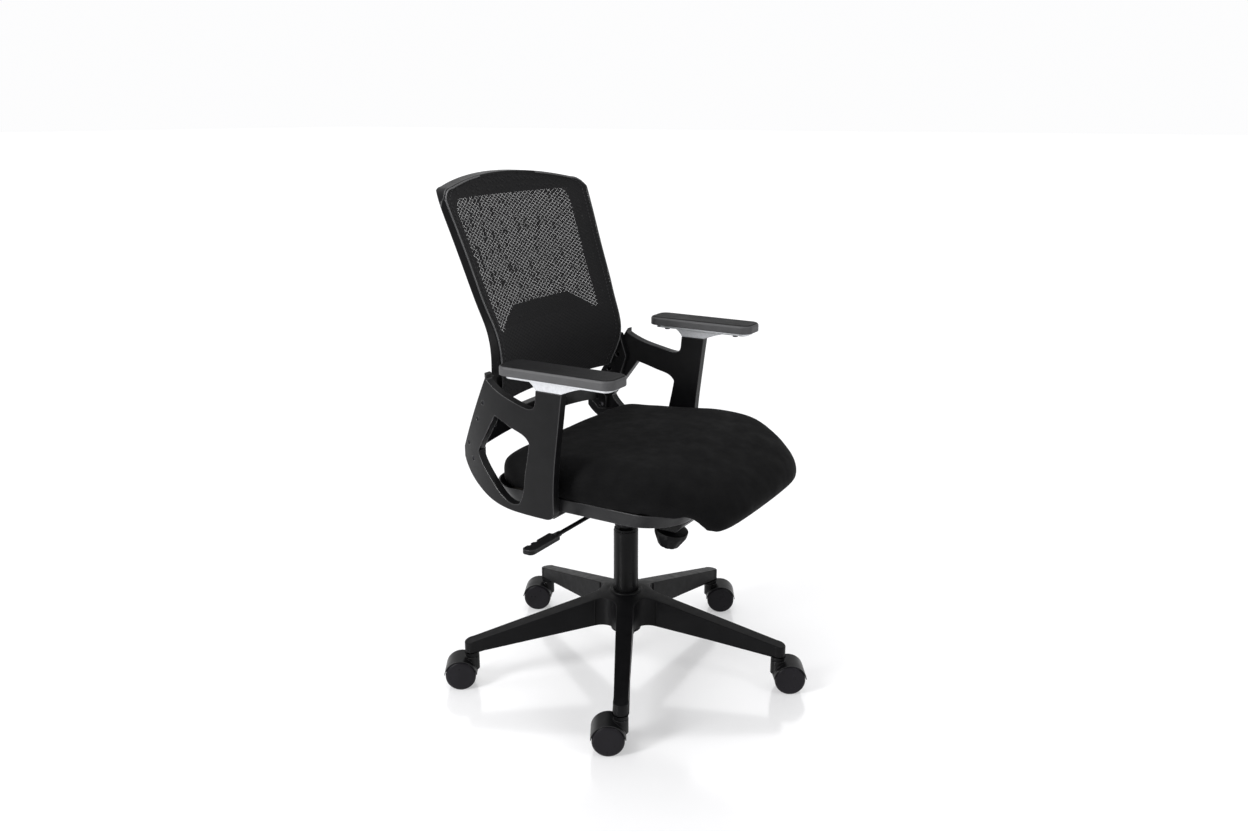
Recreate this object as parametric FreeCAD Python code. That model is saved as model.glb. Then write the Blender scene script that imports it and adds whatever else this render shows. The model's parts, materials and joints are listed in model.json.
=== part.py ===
import FreeCAD, Part
import math
import os

# Swivel office chair with a mesh back. Millimetres, +Z up, origin on the floor under the gas
# column, sitter facing -Y, sitter's right hand on -X. The seat is at its lowest, upright, at rest.

V = FreeCAD.Vector
UP = V(0, 0, 1)
ACROSS = V(1, 0, 0)

# ---- clearances ----
RUN = 0.05            # running fit between a shaft and its bore, radial
GAP = 0.3             # between pieces that move past each other or only lie together
EPS = 0.5             # overshoot of a cutting solid

# ---- five-star base ----
LEGS = 5
LEG_TURN = -60.8      # degrees, direction of the front leg from straight ahead
STEM_R = 320.0        # caster stems from the column
LEG_TIP_RAD = 14.2
LEG_ROOT_W = 37.0
LEG_TIP_W = 26.5
HUB_R = 40.0
HUB_TOP = 166.0
LEG_TIP_TOP = 94.6
HUB_UNDER = 104.0
LEG_UNDER = 74.0
BOSS_UNDER = 63.5
CROTCH_RAD = 34.0
BASE_WALL = 4.0
RIB_T = 3.0
RIB_PITCH = 55.0
HUB_BORE_R = 22.0

# ---- casters ----
WHEEL_R = 30.0
WHEEL_W = 20.5
WEB_T = 12.5
TRAIL = 22.5
TYRE_T = 4.5
AXLE_R = 4.0
STEM_RAD = 5.5
STEM_UP = 30.0
HOOD_T = 1.8
HOOD_AIR = 0.8
HOOD_HEM = 3.0        # the hood's lower edge above the axle
COLLAR_R = 14.0
HEADINGS = (121.0, -59.0, -61.0, 118.0, 124.0)

# ---- gas column ----
TUBE_R = 25.0
TUBE_WALL = 1.6
TUBE_TOP = 298.0
TUBE_FOOT = 84.0
TAPER_LEN = 70.0
TAPER_R = 23.0
GAS_R = 14.0
GAS_FOOT = 150.0
GAS_TAPER_LEN = 46.0
GAS_TAPER_R = 13.2
ROD_R = 5.0
ROD_TOP = 330.0
LIFT_STROKE = 100.0
VALVE_R = 4.0
VALVE_UP = 8.0

# ---- tilt mechanism ----
HOUSING_FRONT = -150.0
HOUSING_REAR = 72.0
HOUSING_W = 92.0
HOUSING_FLOOR = 334.0
HOUSING_T = 4.0
BOSS_FOOT = 308.0     # the housing's taper socket reaches down to here
BOSS_R = 23.0
HOUSING_FRONT_TOP = 392.0
HOUSING_REAR_TOP = 372.0
PIVOT_Y = -50.0
PIVOT_Z = 368.0
SHAFT_R = 6.0
PLATE_T = 3.0
PLATE_W = 184.0
PLATE_FRONT = -150.0
PLATE_REAR = 115.0
EAR_LEN = 62.0
SPRING_Y = -108.0
SPRING_LEAN = 12.0    # the spring and its bolt lean forward, knob end to the rear
SPRING_R = 19.0
SPRING_WIRE = 4.0
SPRING_TOP = 386.0
KNOB_TOP_R = 34.0
KNOB_FOOT_R = 17.0
KNOB_H = 50.0
BOLT_R = 5.0

# ---- height and tilt-lock lever ----
LEVER_Y = -10.0
LEVER_Z = 378.0
LEVER_ROD_R = 4.0
LEVER_INSET = 2.0      # the lever's pivot inside the housing's side
LEVER_PIVOT_X = LEVER_INSET - HOUSING_W / 2
PADDLE_IN = -250.0
PADDLE_OUT = -352.0
PADDLE_W = 24.0
PADDLE_T = 9.0
PULL_TRAVEL = 12.0

# ---- seat ----
PAN_FLOOR = 408.0
PAN_RIM = 437.0
PAN_T = 3.0
PAN_RIM_HALF = 234.0
PAN_FLARE = 10.0      # the rim stands out from the floor by this much at each side
PAN_FLOOR_HALF = PAN_RIM_HALF - PAN_FLARE
PAN_FRONT = -250.0
PAN_REAR = 176.0
PAN_FRONT_RAD = 88.0
PAN_REAR_RAD = 74.0
PAN_SLOPE = 20.0      # the rim overhangs the floor by this much in front
BOARD_T = 12.0
CUSHION_HALF = 246.0
CUSHION_FRONT = -306.0
CUSHION_REAR = 186.0
CUSHION_TOP = 509.0
CUSHION_REAR_TOP = 482.0
NOSE_UNDER = 401.0
SEAT_BOLT_R = 4.0
EDGE_BOW = 12.0       # sagitta of the pan's and board's front edge

# ---- arms ----
ARM_BEND_R = 500.0    # plan radius of the outer face, which wraps towards the back
ARM_OUT = 278.0
ARM_T = 18.0
POST_TOP = 646.0
ARM_UNDER = 411.0
FOOT_FRONT = 8.0
FOOT_REAR = 58.0
FOOT_T = 9.7
FOOT_IN = 112.0
PAD_TOP = 688.0
PAD_T = 18.0
PAD_LEN = 236.0
PAD_W = 66.0
PAD_MID_Y = -32.0
PAD_MID_X = 268.0
BRACKET_T = 6.0
BRACKET_LEN = 214.0
BRACKET_W = 44.0
NECK_SCREW_Y = -10.0

# ---- back ----
BACK_T = 26.0
BACK_EDGE_T = 8.0
BACK_EDGE_IN = 14.0   # how far the rear face stops short of the front face's edge
BOW = 26.0            # how far the middle of the back lies behind its sides
RAIL_W = 32.0
TOP_RAIL = 42.0
FOOT_RAIL = 72.0
SKIRT_TOP = 700.0     # thin rear skirt of the foot rail, behind the lumbar plate
SKIRT_T = 3.0
SKIRT_HALF = 140.0
BACK_FOOT = 580.0
BACK_TOP = 998.0
SHOULDER_RAD = 42.0
MESH_T = 1.8
EAR_T = 10.0
CARRIER_Y = 205.0
CARRIER_T = 18.0
CARRIER_H = 52.0
LUMBAR_HALF = 148.0
LUMBAR_TOP = 752.0
LUMBAR_T = 4.0
LUMBAR_GAP = 7.0
LUMBAR_TRAVEL = 15.0  # each way
LUMBAR_FOOT = BACK_FOOT + FOOT_RAIL + LUMBAR_TRAVEL + 4
LUG_W = 26.0
LUG_X = 70.0

# side rail of the back, rising: height, front edge half width, front edge y, outer edge half width
BACK_STATIONS = ((576.0, 195.0, 161.0, 219.0), (608.0, 199.0, 151.0, 222.0),
                 (650.0, 209.0, 141.5, 229.0),
                 (700.0, 208.0, 147.0, 224.0), (760.0, 213.0, 168.0, 224.0),
                 (820.0, 218.0, 190.0, 229.0), (880.0, 223.0, 211.0, 234.0),
                 (940.0, 229.0, 233.0, 239.0), (1002.0, 232.0, 254.0, 241.0))


def box(x0, x1, y0, y1, z0, z1):
    return Part.makeBox(x1 - x0, y1 - y0, z1 - z0, V(x0, y0, z0))


def disc(r, z0, z1, x=0.0, y=0.0):
    return Part.makeCylinder(r, z1 - z0, V(x, y, z0), UP)


def bar(r, x0, x1, y, z):
    return Part.makeCylinder(r, x1 - x0, V(x0, y, z), ACROSS)


def spun(points):
    """A solid of revolution about Z from (radius, height) corners."""
    wire = Part.makePolygon([V(r, 0, z) for r, z in points] + [V(points[0][0], 0, points[0][1])])
    return Part.Face(wire).revolve(V(0, 0, 0), UP, 360)


def side_prism(edges, x0, x1):
    """A plate from a closed outline in the YZ plane, between two values of x."""
    wire = Part.Wire(edges)
    face = Part.Face(wire)
    face.translate(V(x0, 0, 0))
    return face.extrude(V(x1 - x0, 0, 0))


def side_polygon(points, x0, x1):
    corners = [V(0, y, z) for y, z in points]
    return side_prism(Part.makePolygon(corners + [corners[0]]).Edges, x0, x1)


def front_polygon(points, y0, y1):
    corners = [V(x, y0, z) for x, z in points]
    return Part.Face(Part.makePolygon(corners + [corners[0]])).extrude(V(0, y1 - y0, 0))


def smooth(points):
    """A curve through (y, z) points of a side view."""
    curve = Part.BSplineCurve()
    curve.interpolate([V(0, y, z) for y, z in points])
    return curve.toShape()


def line(a, b):
    return Part.LineSegment(V(0, a[0], a[1]), V(0, b[0], b[1])).toShape()


def mirrored(shape):
    return shape.mirror(V(0, 0, 0), ACROSS)


def fuse_all(shapes):
    body = shapes[0].multiFuse(shapes[1:]) if len(shapes) > 1 else shapes[0]
    return body.removeSplitter()


def rounded_plate(half, front, rear, rad_front, rad_rear, z0, z1):
    """A plan outline with rounded corners, bowed at the front, between two heights."""
    bow = EDGE_BOW
    k = math.sqrt(0.5)

    def corner(cx, cy, r, sx, sy):
        start = V(cx + (r if sx * sy > 0 else 0) * sx, cy + (0 if sx * sy > 0 else r) * sy, z0)
        middle = V(cx + k * r * sx, cy + k * r * sy, z0)
        end = V(cx + (0 if sx * sy > 0 else r) * sx, cy + (r if sx * sy > 0 else 0) * sy, z0)
        return start, middle, end

    yf = front + bow
    corners = [corner(half - rad_rear, rear - rad_rear, rad_rear, 1, 1),
               corner(-half + rad_rear, rear - rad_rear, rad_rear, -1, 1),
               corner(-half + rad_front, yf + rad_front, rad_front, -1, -1),
               corner(half - rad_front, yf + rad_front, rad_front, 1, -1)]
    edges = []
    for i, (start, middle, end) in enumerate(corners):
        edges.append(Part.Arc(start, middle, end).toShape())
        following = corners[(i + 1) % 4][0]
        if i == 2:
            edges.append(Part.Arc(end, V(0, front, z0), following).toShape())
        else:
            edges.append(Part.LineSegment(end, following).toShape())
    return Part.Wire(edges), z1 - z0


def plate_solid(*args):
    wire, height = rounded_plate(*args)
    return Part.Face(wire).extrude(V(0, 0, height))


# ------------------------------------------------------------------ base
def leg_angle(i):
    """Direction of leg i in the XY plane, degrees from +X."""
    return LEG_TURN + 360.0 / LEGS * i - 90.0


def radial(r, angle, z=0.0):
    a = math.radians(angle)
    return V(r * math.cos(a), r * math.sin(a), z)


def star_prism(inset, z0, z1):
    """The base seen from above, drawn in by inset, as a prism with round crotches."""
    root = LEG_ROOT_W / 2 - inset
    tip = LEG_TIP_W / 2 - inset
    lean = (root - tip) / STEM_R
    half = math.pi / LEGS
    reach = ((CROTCH_RAD + inset) * math.hypot(1, lean) + root) / (math.sin(half) + lean * math.cos(half))
    crotches = [radial(reach, leg_angle(i) + 180.0 / LEGS, z0) for i in range(LEGS)]
    legs = [Part.Face(Part.makePolygon(crotches + [crotches[0]])).extrude(V(0, 0, z1 - z0))]
    for i in range(LEGS):
        outline = Part.makePolygon([V(0, -root, z0), V(STEM_R, -tip, z0), V(STEM_R, tip, z0),
                                    V(0, root, z0), V(0, -root, z0)])
        leg = Part.Face(outline).extrude(V(0, 0, z1 - z0))
        leg = leg.fuse(disc(LEG_TIP_RAD - inset, z0, z1, STEM_R))
        leg.rotate(V(0, 0, 0), UP, leg_angle(i))
        legs.append(leg)
    star = fuse_all(legs)
    for c in crotches:
        star = star.cut(disc(CROTCH_RAD + inset, z0 - 1, z1 + 1, c.x, c.y))
    return star


def star_profile(top_drop, under_rise):
    """Everything between the sloping top and the sloping underside of the legs."""
    far = STEM_R + LEG_TIP_RAD + EPS
    slope = (HUB_TOP - LEG_TIP_TOP) / (STEM_R + LEG_TIP_RAD - HUB_R)
    under = (HUB_UNDER - LEG_UNDER) / (STEM_R - HUB_R)
    top = HUB_TOP - top_drop
    return spun([(0, HUB_UNDER + under_rise), (HUB_R, HUB_UNDER + under_rise),
                 (far, HUB_UNDER + under_rise - under * (far - HUB_R)),
                 (far, top - slope * (far - HUB_R)), (HUB_R, top), (0, top)])


def make_base_star():
    star = star_prism(0, 0, HUB_TOP + EPS).common(star_profile(0, 0))
    hollow = star_prism(BASE_WALL, 0, HUB_TOP).common(star_profile(BASE_WALL + 1.0, -HUB_UNDER))
    ribs = []
    for i in range(LEGS):
        for k in range(1, 6):
            r = HUB_R + RIB_PITCH * (k - 0.5) + RIB_T
            if r < STEM_R - LEG_TIP_RAD - RIB_T:
                rib = box(r, r + RIB_T, -LEG_ROOT_W / 2, LEG_ROOT_W / 2, 0, HUB_TOP)
                rib.rotate(V(0, 0, 0), UP, leg_angle(i))
                ribs.append(rib)
        spine = box(HUB_BORE_R, STEM_R, -RIB_T / 2, RIB_T / 2, 0, HUB_TOP)
        spine.rotate(V(0, 0, 0), UP, leg_angle(i))
        ribs.append(spine)
    ribs.append(disc(TUBE_R + BASE_WALL + 2, 0, HUB_TOP))
    for i in range(LEGS):
        c = radial(STEM_R, leg_angle(i))
        ribs.append(disc(LEG_TIP_RAD, 0, HUB_TOP, c.x, c.y))
    hollow = hollow.cut(ribs[0].multiFuse(ribs[1:]))
    star = star.cut(hollow)
    for i in range(LEGS):
        c = radial(STEM_R, leg_angle(i))
        star = star.fuse(disc(LEG_TIP_RAD - 0.5, BOSS_UNDER, LEG_UNDER + 12, c.x, c.y))
    star = star.fuse(disc(TUBE_R + BASE_WALL + 2, TUBE_FOOT - 4, HUB_UNDER + 4))
    star = star.fuse(disc(TUBE_R + BASE_WALL + 4, HUB_TOP - 4, HUB_TOP + 3))
    taper = column_outside(RUN, TUBE_FOOT - 10, HUB_TOP + 10)
    star = star.cut(taper)
    for i in range(LEGS):
        c = radial(STEM_R, leg_angle(i))
        star = star.cut(disc(STEM_RAD + RUN, BOSS_UNDER - 1, BOSS_UNDER + STEM_UP - 6, c.x, c.y))
    return star.removeSplitter()


# ------------------------------------------------------------------ column
def column_outside(grow, z0, z1):
    """Outer shape of the column tube, with its tapered foot, grown by a clearance."""
    foot = TUBE_FOOT
    full = foot + TAPER_LEN
    lean = (TUBE_R - TAPER_R) / TAPER_LEN
    low = TAPER_R - lean * (foot - z0) + grow
    if z0 > foot:
        low = TAPER_R + grow
    return spun([(0, z0), (low, z0), (TUBE_R + grow, full), (TUBE_R + grow, z1), (0, z1)])


def make_column_tube():
    body = column_outside(0, TUBE_FOOT, TUBE_TOP)
    lean = (TUBE_R - TAPER_R) / TAPER_LEN
    floor = TUBE_FOOT + 5
    inside = spun([(0, floor), (TAPER_R - TUBE_WALL + lean * 5, floor),
                   (TUBE_R - TUBE_WALL, TUBE_FOOT + TAPER_LEN), (TUBE_R - TUBE_WALL, TUBE_TOP + 1),
                   (0, TUBE_TOP + 1)])
    return body.cut(inside).cut(disc(ROD_R + GAP, TUBE_FOOT - 1, floor + 1))


def make_column_bushing():
    """Plastic guide, pressed into the tube, with a thin collar on its rim."""
    outer = disc(TUBE_R - TUBE_WALL, GAS_FOOT + 22, TUBE_TOP)
    collar = disc(TUBE_R - 1.2, TUBE_TOP, TUBE_TOP + 4)
    return outer.fuse(collar).removeSplitter().cut(disc(GAS_R + RUN, GAS_FOOT, TUBE_TOP + 5))


def make_thrust_bearing():
    """Two races with a ball cage between them, on the floor of the tube."""
    z = TUBE_FOOT + 5
    return disc(14, z, z + 8).cut(disc(ROD_R + GAP, z - 1, z + 9))


def make_piston_rod():
    """Rod that hangs the gas cylinder on the tube's floor, with its shoulder on the bearing."""
    rod = disc(ROD_R, TUBE_FOOT - 6, ROD_TOP)
    shoulder = disc(9, TUBE_FOOT + 13, TUBE_FOOT + 18)
    piston = disc(GAS_R - 1.6 - RUN, ROD_TOP - 12, ROD_TOP)
    groove = disc(ROD_R + 1, TUBE_FOOT - 4, TUBE_FOOT - 2).cut(disc(ROD_R - 1, TUBE_FOOT - 5, TUBE_FOOT - 1))
    return rod.fuse(shoulder).fuse(piston).removeSplitter().cut(groove)


def make_rod_clip():
    """Spring clip in the rod's groove under the column foot."""
    z = TUBE_FOOT - 4
    clip = disc(10, z, z + 2).cut(disc(ROD_R - 1 + RUN, z - 1, z + 3))
    return clip.cut(box(ROD_R - 2, 12, -3, 3, z - 1, z + 3))


def gas_top():
    return BOSS_FOOT + GAS_TAPER_LEN + 3


def make_gas_cylinder():
    """Pressure tube, closed round the rod below and tapered into the mechanism above."""
    top = gas_top()
    start = BOSS_FOOT - 4
    outer = spun([(0, GAS_FOOT), (GAS_R, GAS_FOOT), (GAS_R, start), (GAS_TAPER_R, top), (0, top)])
    inner = disc(GAS_R - 1.6, GAS_FOOT + 14, top - 10)
    body = outer.cut(inner).cut(disc(ROD_R + RUN, GAS_FOOT - 1, GAS_FOOT + 15))
    return body.cut(disc(VALVE_R + RUN, top - 11, top + 1))


def make_valve_pin():
    top = gas_top()
    pin = disc(VALVE_R, top - 6, top + VALVE_UP)
    return pin.makeFillet(1.0, [e for e in pin.Edges if abs(e.BoundBox.ZMin - top - VALVE_UP) < 0.01])


# ------------------------------------------------------------------ mechanism
def housing_profile(inset):
    """Side view of the die-cast housing: deep under the spring, cut away at the rear."""
    return [(HOUSING_FRONT + inset, HOUSING_FLOOR + 14 + inset), (HOUSING_FRONT + 12, HOUSING_FLOOR + inset),
            (30.0, HOUSING_FLOOR + inset), (HOUSING_REAR - inset, HOUSING_FLOOR + 12 + inset),
            (HOUSING_REAR - inset, HOUSING_REAR_TOP), (HOUSING_FRONT + inset, HOUSING_FRONT_TOP)]


def make_tilt_housing():
    half = HOUSING_W / 2
    shell = side_polygon(housing_profile(0), -half, half)
    hollow = housing_profile(HOUSING_T)
    hollow[-2] = (hollow[-2][0], HOUSING_FRONT_TOP + 20)
    hollow[-1] = (hollow[-1][0], HOUSING_FRONT_TOP + 20)
    shell = shell.cut(side_polygon(hollow, -half + HOUSING_T, half - HOUSING_T))
    socket = spun([(0, BOSS_FOOT), (BOSS_R, BOSS_FOOT), (BOSS_R, HOUSING_FLOOR + 2), (19, gas_top() - 3),
                   (0, gas_top() - 3)])
    spring_seat = leaned(disc(SPRING_R + 5, HOUSING_FLOOR, HOUSING_FLOOR + 9, 0, SPRING_Y))
    spring_seat = spring_seat.common(box(-half, half, HOUSING_FRONT, 0, HOUSING_FLOOR, HOUSING_FLOOR + 30))
    shell = shell.fuse(socket).fuse(spring_seat)
    for side in (-1, 1):
        a, b = sorted((side * (half - HOUSING_T - 6), side * half))
        shell = shell.fuse(bar(SHAFT_R + 5, a, b, PIVOT_Y, PIVOT_Z))
    start = BOSS_FOOT - 4
    bore = spun([(0, start), (GAS_R + RUN, start), (GAS_TAPER_R + RUN, gas_top()), (0, gas_top())])
    shell = shell.cut(bore)
    shell = shell.cut(bar(SHAFT_R + RUN, -half - 5, half + 5, PIVOT_Y, PIVOT_Z))
    shell = shell.cut(leaned(disc(BOLT_R + RUN, HOUSING_FLOOR - 8, HOUSING_FLOOR + 16, 0, SPRING_Y)))
    window = box(-half - 1, -half + HOUSING_T + 1, LEVER_Y - 8 - GAP, LEVER_Y + 8 + GAP,
                 LEVER_Z - 8 - GAP, HOUSING_FRONT_TOP + 5)
    return shell.cut(window).removeSplitter()


def leaned(shape):
    """Turns what stands round the tension bolt to the bolt's lean."""
    shape.rotate(V(0, SPRING_Y, HOUSING_FLOOR), ACROSS, SPRING_LEAN)
    return shape


def make_tilt_shaft():
    """Pivot pin through the housing and both ears, with a head and a circlip end."""
    end = HOUSING_W / 2 + GAP * 2 + PLATE_T + 4
    pin = bar(SHAFT_R, -end, end, PIVOT_Y, PIVOT_Z)
    head = bar(SHAFT_R + 3, end - 3, end, PIVOT_Y, PIVOT_Z)
    return pin.fuse(head).fuse(mirrored(head)).removeSplitter()


def plate_under():
    return PAN_FLOOR - GAP - PLATE_T


def make_tilt_plate():
    """Pressed steel plate under the seat, with two ears down to the pivot."""
    z = plate_under()
    half = PLATE_W / 2
    plate = box(-half, half, PLATE_FRONT, PLATE_REAR, z, z + PLATE_T)
    plate = plate.makeFillet(18.0, [e for e in plate.Edges
                                    if abs(e.BoundBox.ZLength - PLATE_T) < 0.01])
    inner = HOUSING_W / 2 + GAP * 2
    ear_half = EAR_LEN / 2
    ear = side_polygon([(PIVOT_Y - ear_half, z + 1), (PIVOT_Y - 15, PIVOT_Z - 14),
                        (PIVOT_Y + 15, PIVOT_Z - 14), (PIVOT_Y + ear_half, z + 1)],
                       inner, inner + PLATE_T)
    plate = plate.fuse(ear).fuse(mirrored(ear))
    plate = plate.cut(bar(SHAFT_R + RUN, -half, half, PIVOT_Y, PIVOT_Z))
    for x, y in seat_bolt_places():
        plate = plate.cut(disc(SEAT_BOLT_R + RUN, z - 1, z + 5, x, y))
    return plate.removeSplitter()


def make_tilt_spring():
    """Close-wound compression spring round the tension bolt."""
    foot = HOUSING_FLOOR + 9 + GAP
    turns = 5
    coil_r = SPRING_R - SPRING_WIRE
    rings = []
    for k in range(turns):
        z = foot + SPRING_WIRE + k * (SPRING_TOP - foot - 2 * SPRING_WIRE) / (turns - 1)
        rings.append(Part.makeTorus(coil_r, SPRING_WIRE, V(0, SPRING_Y, z), UP))
    tie = box(coil_r - 1.5, coil_r + 1.5, SPRING_Y - 1.5, SPRING_Y + 1.5,
              foot + SPRING_WIRE, SPRING_TOP - SPRING_WIRE)
    return leaned(fuse_all(rings + [tie]))


def make_tension_bolt():
    """Bolt from the knob up through the spring, with its washer head on the spring."""
    head = disc(SPRING_R - 3, SPRING_TOP + GAP, SPRING_TOP + 4, 0, SPRING_Y)
    shank = disc(BOLT_R, HOUSING_FLOOR - KNOB_H + 6, SPRING_TOP + 2, 0, SPRING_Y)
    return leaned(shank.fuse(head).removeSplitter())


def make_tension_knob():
    """Hand knob under the front of the mechanism, fluted, wider at the top."""
    drop = 2.0 + math.tan(math.radians(SPRING_LEAN)) * KNOB_TOP_R
    top = HOUSING_FLOOR - GAP - drop
    foot = HOUSING_FLOOR - KNOB_H
    knob = spun([(0, foot), (KNOB_FOOT_R - 3, foot), (KNOB_FOOT_R, foot + 3), (KNOB_TOP_R, top - 12),
                 (KNOB_TOP_R, top), (0, top)])
    collar = disc(BOLT_R + 5, top - 1, HOUSING_FLOOR - 4)
    flutes = []
    run = math.atan2(KNOB_TOP_R - KNOB_FOOT_R, top - 15 - foot)
    for k in range(10):
        a = math.radians(36 * k)
        reach = KNOB_TOP_R + 3.5
        flutes.append(Part.makeCylinder(5.0, KNOB_H + 20, V(reach * math.cos(a), reach * math.sin(a), top + 1),
                                        V(-math.sin(run) * math.cos(a), -math.sin(run) * math.sin(a),
                                          -math.cos(run))))
    knob = knob.cut(flutes[0].multiFuse(flutes[1:])).fuse(collar)
    knob = knob.cut(disc(BOLT_R, foot + 6, top + 40))
    knob.translate(V(0, SPRING_Y, 0))
    return leaned(knob)


# ------------------------------------------------------------------ lever
def make_lever_block():
    """Rocker inside the housing: carries the lever and presses the valve pin."""
    y0, y1 = LEVER_Y - 8, LEVER_Y + 8
    z0, z1 = LEVER_Z - 8, LEVER_Z + 5.5
    body = box(LEVER_PIVOT_X - 6, 6, y0, y1, z0, z1)
    nose = box(-6, 6, y0, 8, z1 - 8.5, z1)
    presser = box(-5, 5, -5, 5, gas_top() + VALVE_UP + GAP, z1)
    body = fuse_all([body, nose, presser])
    return body.cut(bar(LEVER_ROD_R + RUN, LEVER_PIVOT_X - 7, LEVER_PIVOT_X + 34, LEVER_Y, LEVER_Z))


def make_lever():
    """Steel rod that slides in the block, with its moulded paddle outside the seat."""
    return bar(LEVER_ROD_R, PADDLE_IN - 14, LEVER_PIVOT_X + 33, LEVER_Y, LEVER_Z)


def make_lever_paddle():
    """Flat finger paddle with two notches on its rear edge."""
    y0, y1 = LEVER_Y - PADDLE_W / 2, LEVER_Y + PADDLE_W / 2
    z0, z1 = LEVER_Z - PADDLE_T / 2, LEVER_Z + PADDLE_T / 2
    paddle = box(PADDLE_OUT, PADDLE_IN - 16, y0, y1, z0, z1)
    paddle = paddle.makeFillet(9.0, [e for e in paddle.Edges if abs(e.BoundBox.ZLength - PADDLE_T) < 0.01
                                     and e.BoundBox.XMin < PADDLE_OUT + 1])
    neck = Part.makeCone(LEVER_ROD_R + 1.2, PADDLE_T / 2 + 1.6, 18,
                         V(PADDLE_IN, LEVER_Y, LEVER_Z), V(-1, 0, 0))
    neck = neck.common(box(PADDLE_OUT, PADDLE_IN + 1, y0, y1, z0 - 3, z1 + 3))
    paddle = paddle.fuse(neck)
    for x in (PADDLE_OUT + 24, PADDLE_OUT + 42):
        paddle = paddle.cut(disc(5.0, z0 - 5, z1 + 5, x, y1 + 1))
    return paddle.cut(bar(LEVER_ROD_R, PADDLE_IN - 14, PADDLE_IN + 1, LEVER_Y, LEVER_Z)).removeSplitter()


# ------------------------------------------------------------------ seat
def seat_bolt_places():
    return [(sx * 72.0, y) for sx in (-1, 1) for y in (-128.0, 92.0)]


def foot_bolt_places():
    x = FOOT_IN + 24
    y = (FOOT_FRONT + FOOT_REAR) / 2
    return [(sx * (x + dx), y + dy) for sx in (-1, 1) for dx, dy in ((0, -14), (0, 14), (34, 0))]


def pan_wire(z, grow):
    """Plan outline of the seat pan at a height, drawn in by grow."""
    share = (z - PAN_FLOOR) / (PAN_RIM - PAN_FLOOR)
    half = PAN_FLOOR_HALF + (PAN_RIM_HALF - PAN_FLOOR_HALF) * share
    front = PAN_FRONT + PAN_SLOPE * (1 - share)
    rear = PAN_REAR - PAN_SLOPE * 0.7 * (1 - share)
    return rounded_plate(half - grow, front + grow, rear - grow, PAN_FRONT_RAD - grow,
                         PAN_REAR_RAD - grow, z, z)[0]


def make_seat_pan():
    """Moulded shell under the seat with a raised rim and ribs that carry the board."""
    outer = Part.makeLoft([pan_wire(PAN_FLOOR, 0), pan_wire(PAN_RIM, 0)], True, True)
    inner = Part.makeLoft([pan_wire(PAN_FLOOR + PAN_T, PAN_T), pan_wire(PAN_RIM + EPS, PAN_T)], True, True)
    pan = outer.cut(inner)
    ribs = []
    for x in (-150.0, -50.0, 50.0, 150.0):
        ribs.append(box(x - 1.5, x + 1.5, PAN_FRONT + 60, PAN_REAR - 40, PAN_FLOOR + 1, board_under()))
    for y in (-160.0, -60.0, 40.0, 120.0):
        ribs.append(box(-PAN_FLOOR_HALF + 25, PAN_FLOOR_HALF - 25, y - 1.5, y + 1.5,
                        PAN_FLOOR + 1, board_under()))
    pan = pan.multiFuse(ribs)
    for x, y in seat_bolt_places() + foot_bolt_places():
        pan = pan.fuse(disc(9, PAN_FLOOR + 1, board_under(), x, y))
    for x, y in seat_bolt_places() + foot_bolt_places():
        pan = pan.cut(disc(SEAT_BOLT_R + RUN, PAN_FLOOR - 1, board_under() + 1, x, y))
    return pan.removeSplitter()


def board_under():
    return PAN_RIM - BOARD_T


def make_seat_board():
    """Plywood board that carries the foam, dropped into the pan."""
    board = plate_solid(PAN_FLOOR_HALF - 4, PAN_FRONT + PAN_SLOPE + 4, PAN_REAR - PAN_SLOPE - 2,
                        PAN_FRONT_RAD - 4, PAN_REAR_RAD - 4, board_under(), PAN_RIM)
    for x, y in seat_bolt_places() + foot_bolt_places():
        board = board.cut(disc(SEAT_BOLT_R + RUN, board_under() - 1, PAN_RIM - 4, x, y))
    return board


def make_seat_cushion():
    """Foam pad with a waterfall front that wraps down over the pan's front edge."""
    z0 = PAN_RIM + GAP
    top = smooth([(CUSHION_REAR, z0 + 22), (CUSHION_REAR - 18, CUSHION_REAR_TOP - 4),
                  (60.0, CUSHION_TOP - 11), (-80.0, CUSHION_TOP), (-200.0, CUSHION_TOP - 7),
                  (-272.0, CUSHION_TOP - 25), (CUSHION_FRONT, 470.0), (CUSHION_FRONT + 5, 434.0),
                  (CUSHION_FRONT + 20, NOSE_UNDER)])
    inner = PAN_FRONT - GAP * 4
    path = [(CUSHION_FRONT + 20, NOSE_UNDER), (inner - 12, NOSE_UNDER + 2), (inner, z0 - 4), (inner, z0),
            (CUSHION_REAR, z0), (CUSHION_REAR, z0 + 22)]
    edges = [top] + [line(path[i], path[i + 1]) for i in range(len(path) - 1)]
    body = side_prism(edges, -CUSHION_HALF, CUSHION_HALF)
    return body.common(cushion_plan(NOSE_UNDER - 5, CUSHION_TOP + 5))


def cushion_plan(z0, z1):
    """Prism of the cushion's outline from above: broad, rounded and slightly bowed all round."""
    h = CUSHION_HALF
    side = [V(0, CUSHION_FRONT, z0), V(0.5 * h, CUSHION_FRONT + 9, z0), V(h - 52, CUSHION_FRONT + 46, z0),
            V(h - 8, CUSHION_FRONT + 128, z0), V(h, -70, z0), V(h - 4, 60, z0), V(h - 26, CUSHION_REAR - 44, z0),
            V(h - 84, CUSHION_REAR - 8, z0)]
    rear = [V(0, CUSHION_REAR, z0)]
    other = [V(-p.x, p.y, p.z) for p in reversed(side[1:])]
    curve = Part.BSplineCurve()
    curve.interpolate(side + rear + other, PeriodicFlag=True)
    return Part.Face(Part.Wire([curve.toShape()])).extrude(V(0, 0, z1 - z0))


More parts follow.
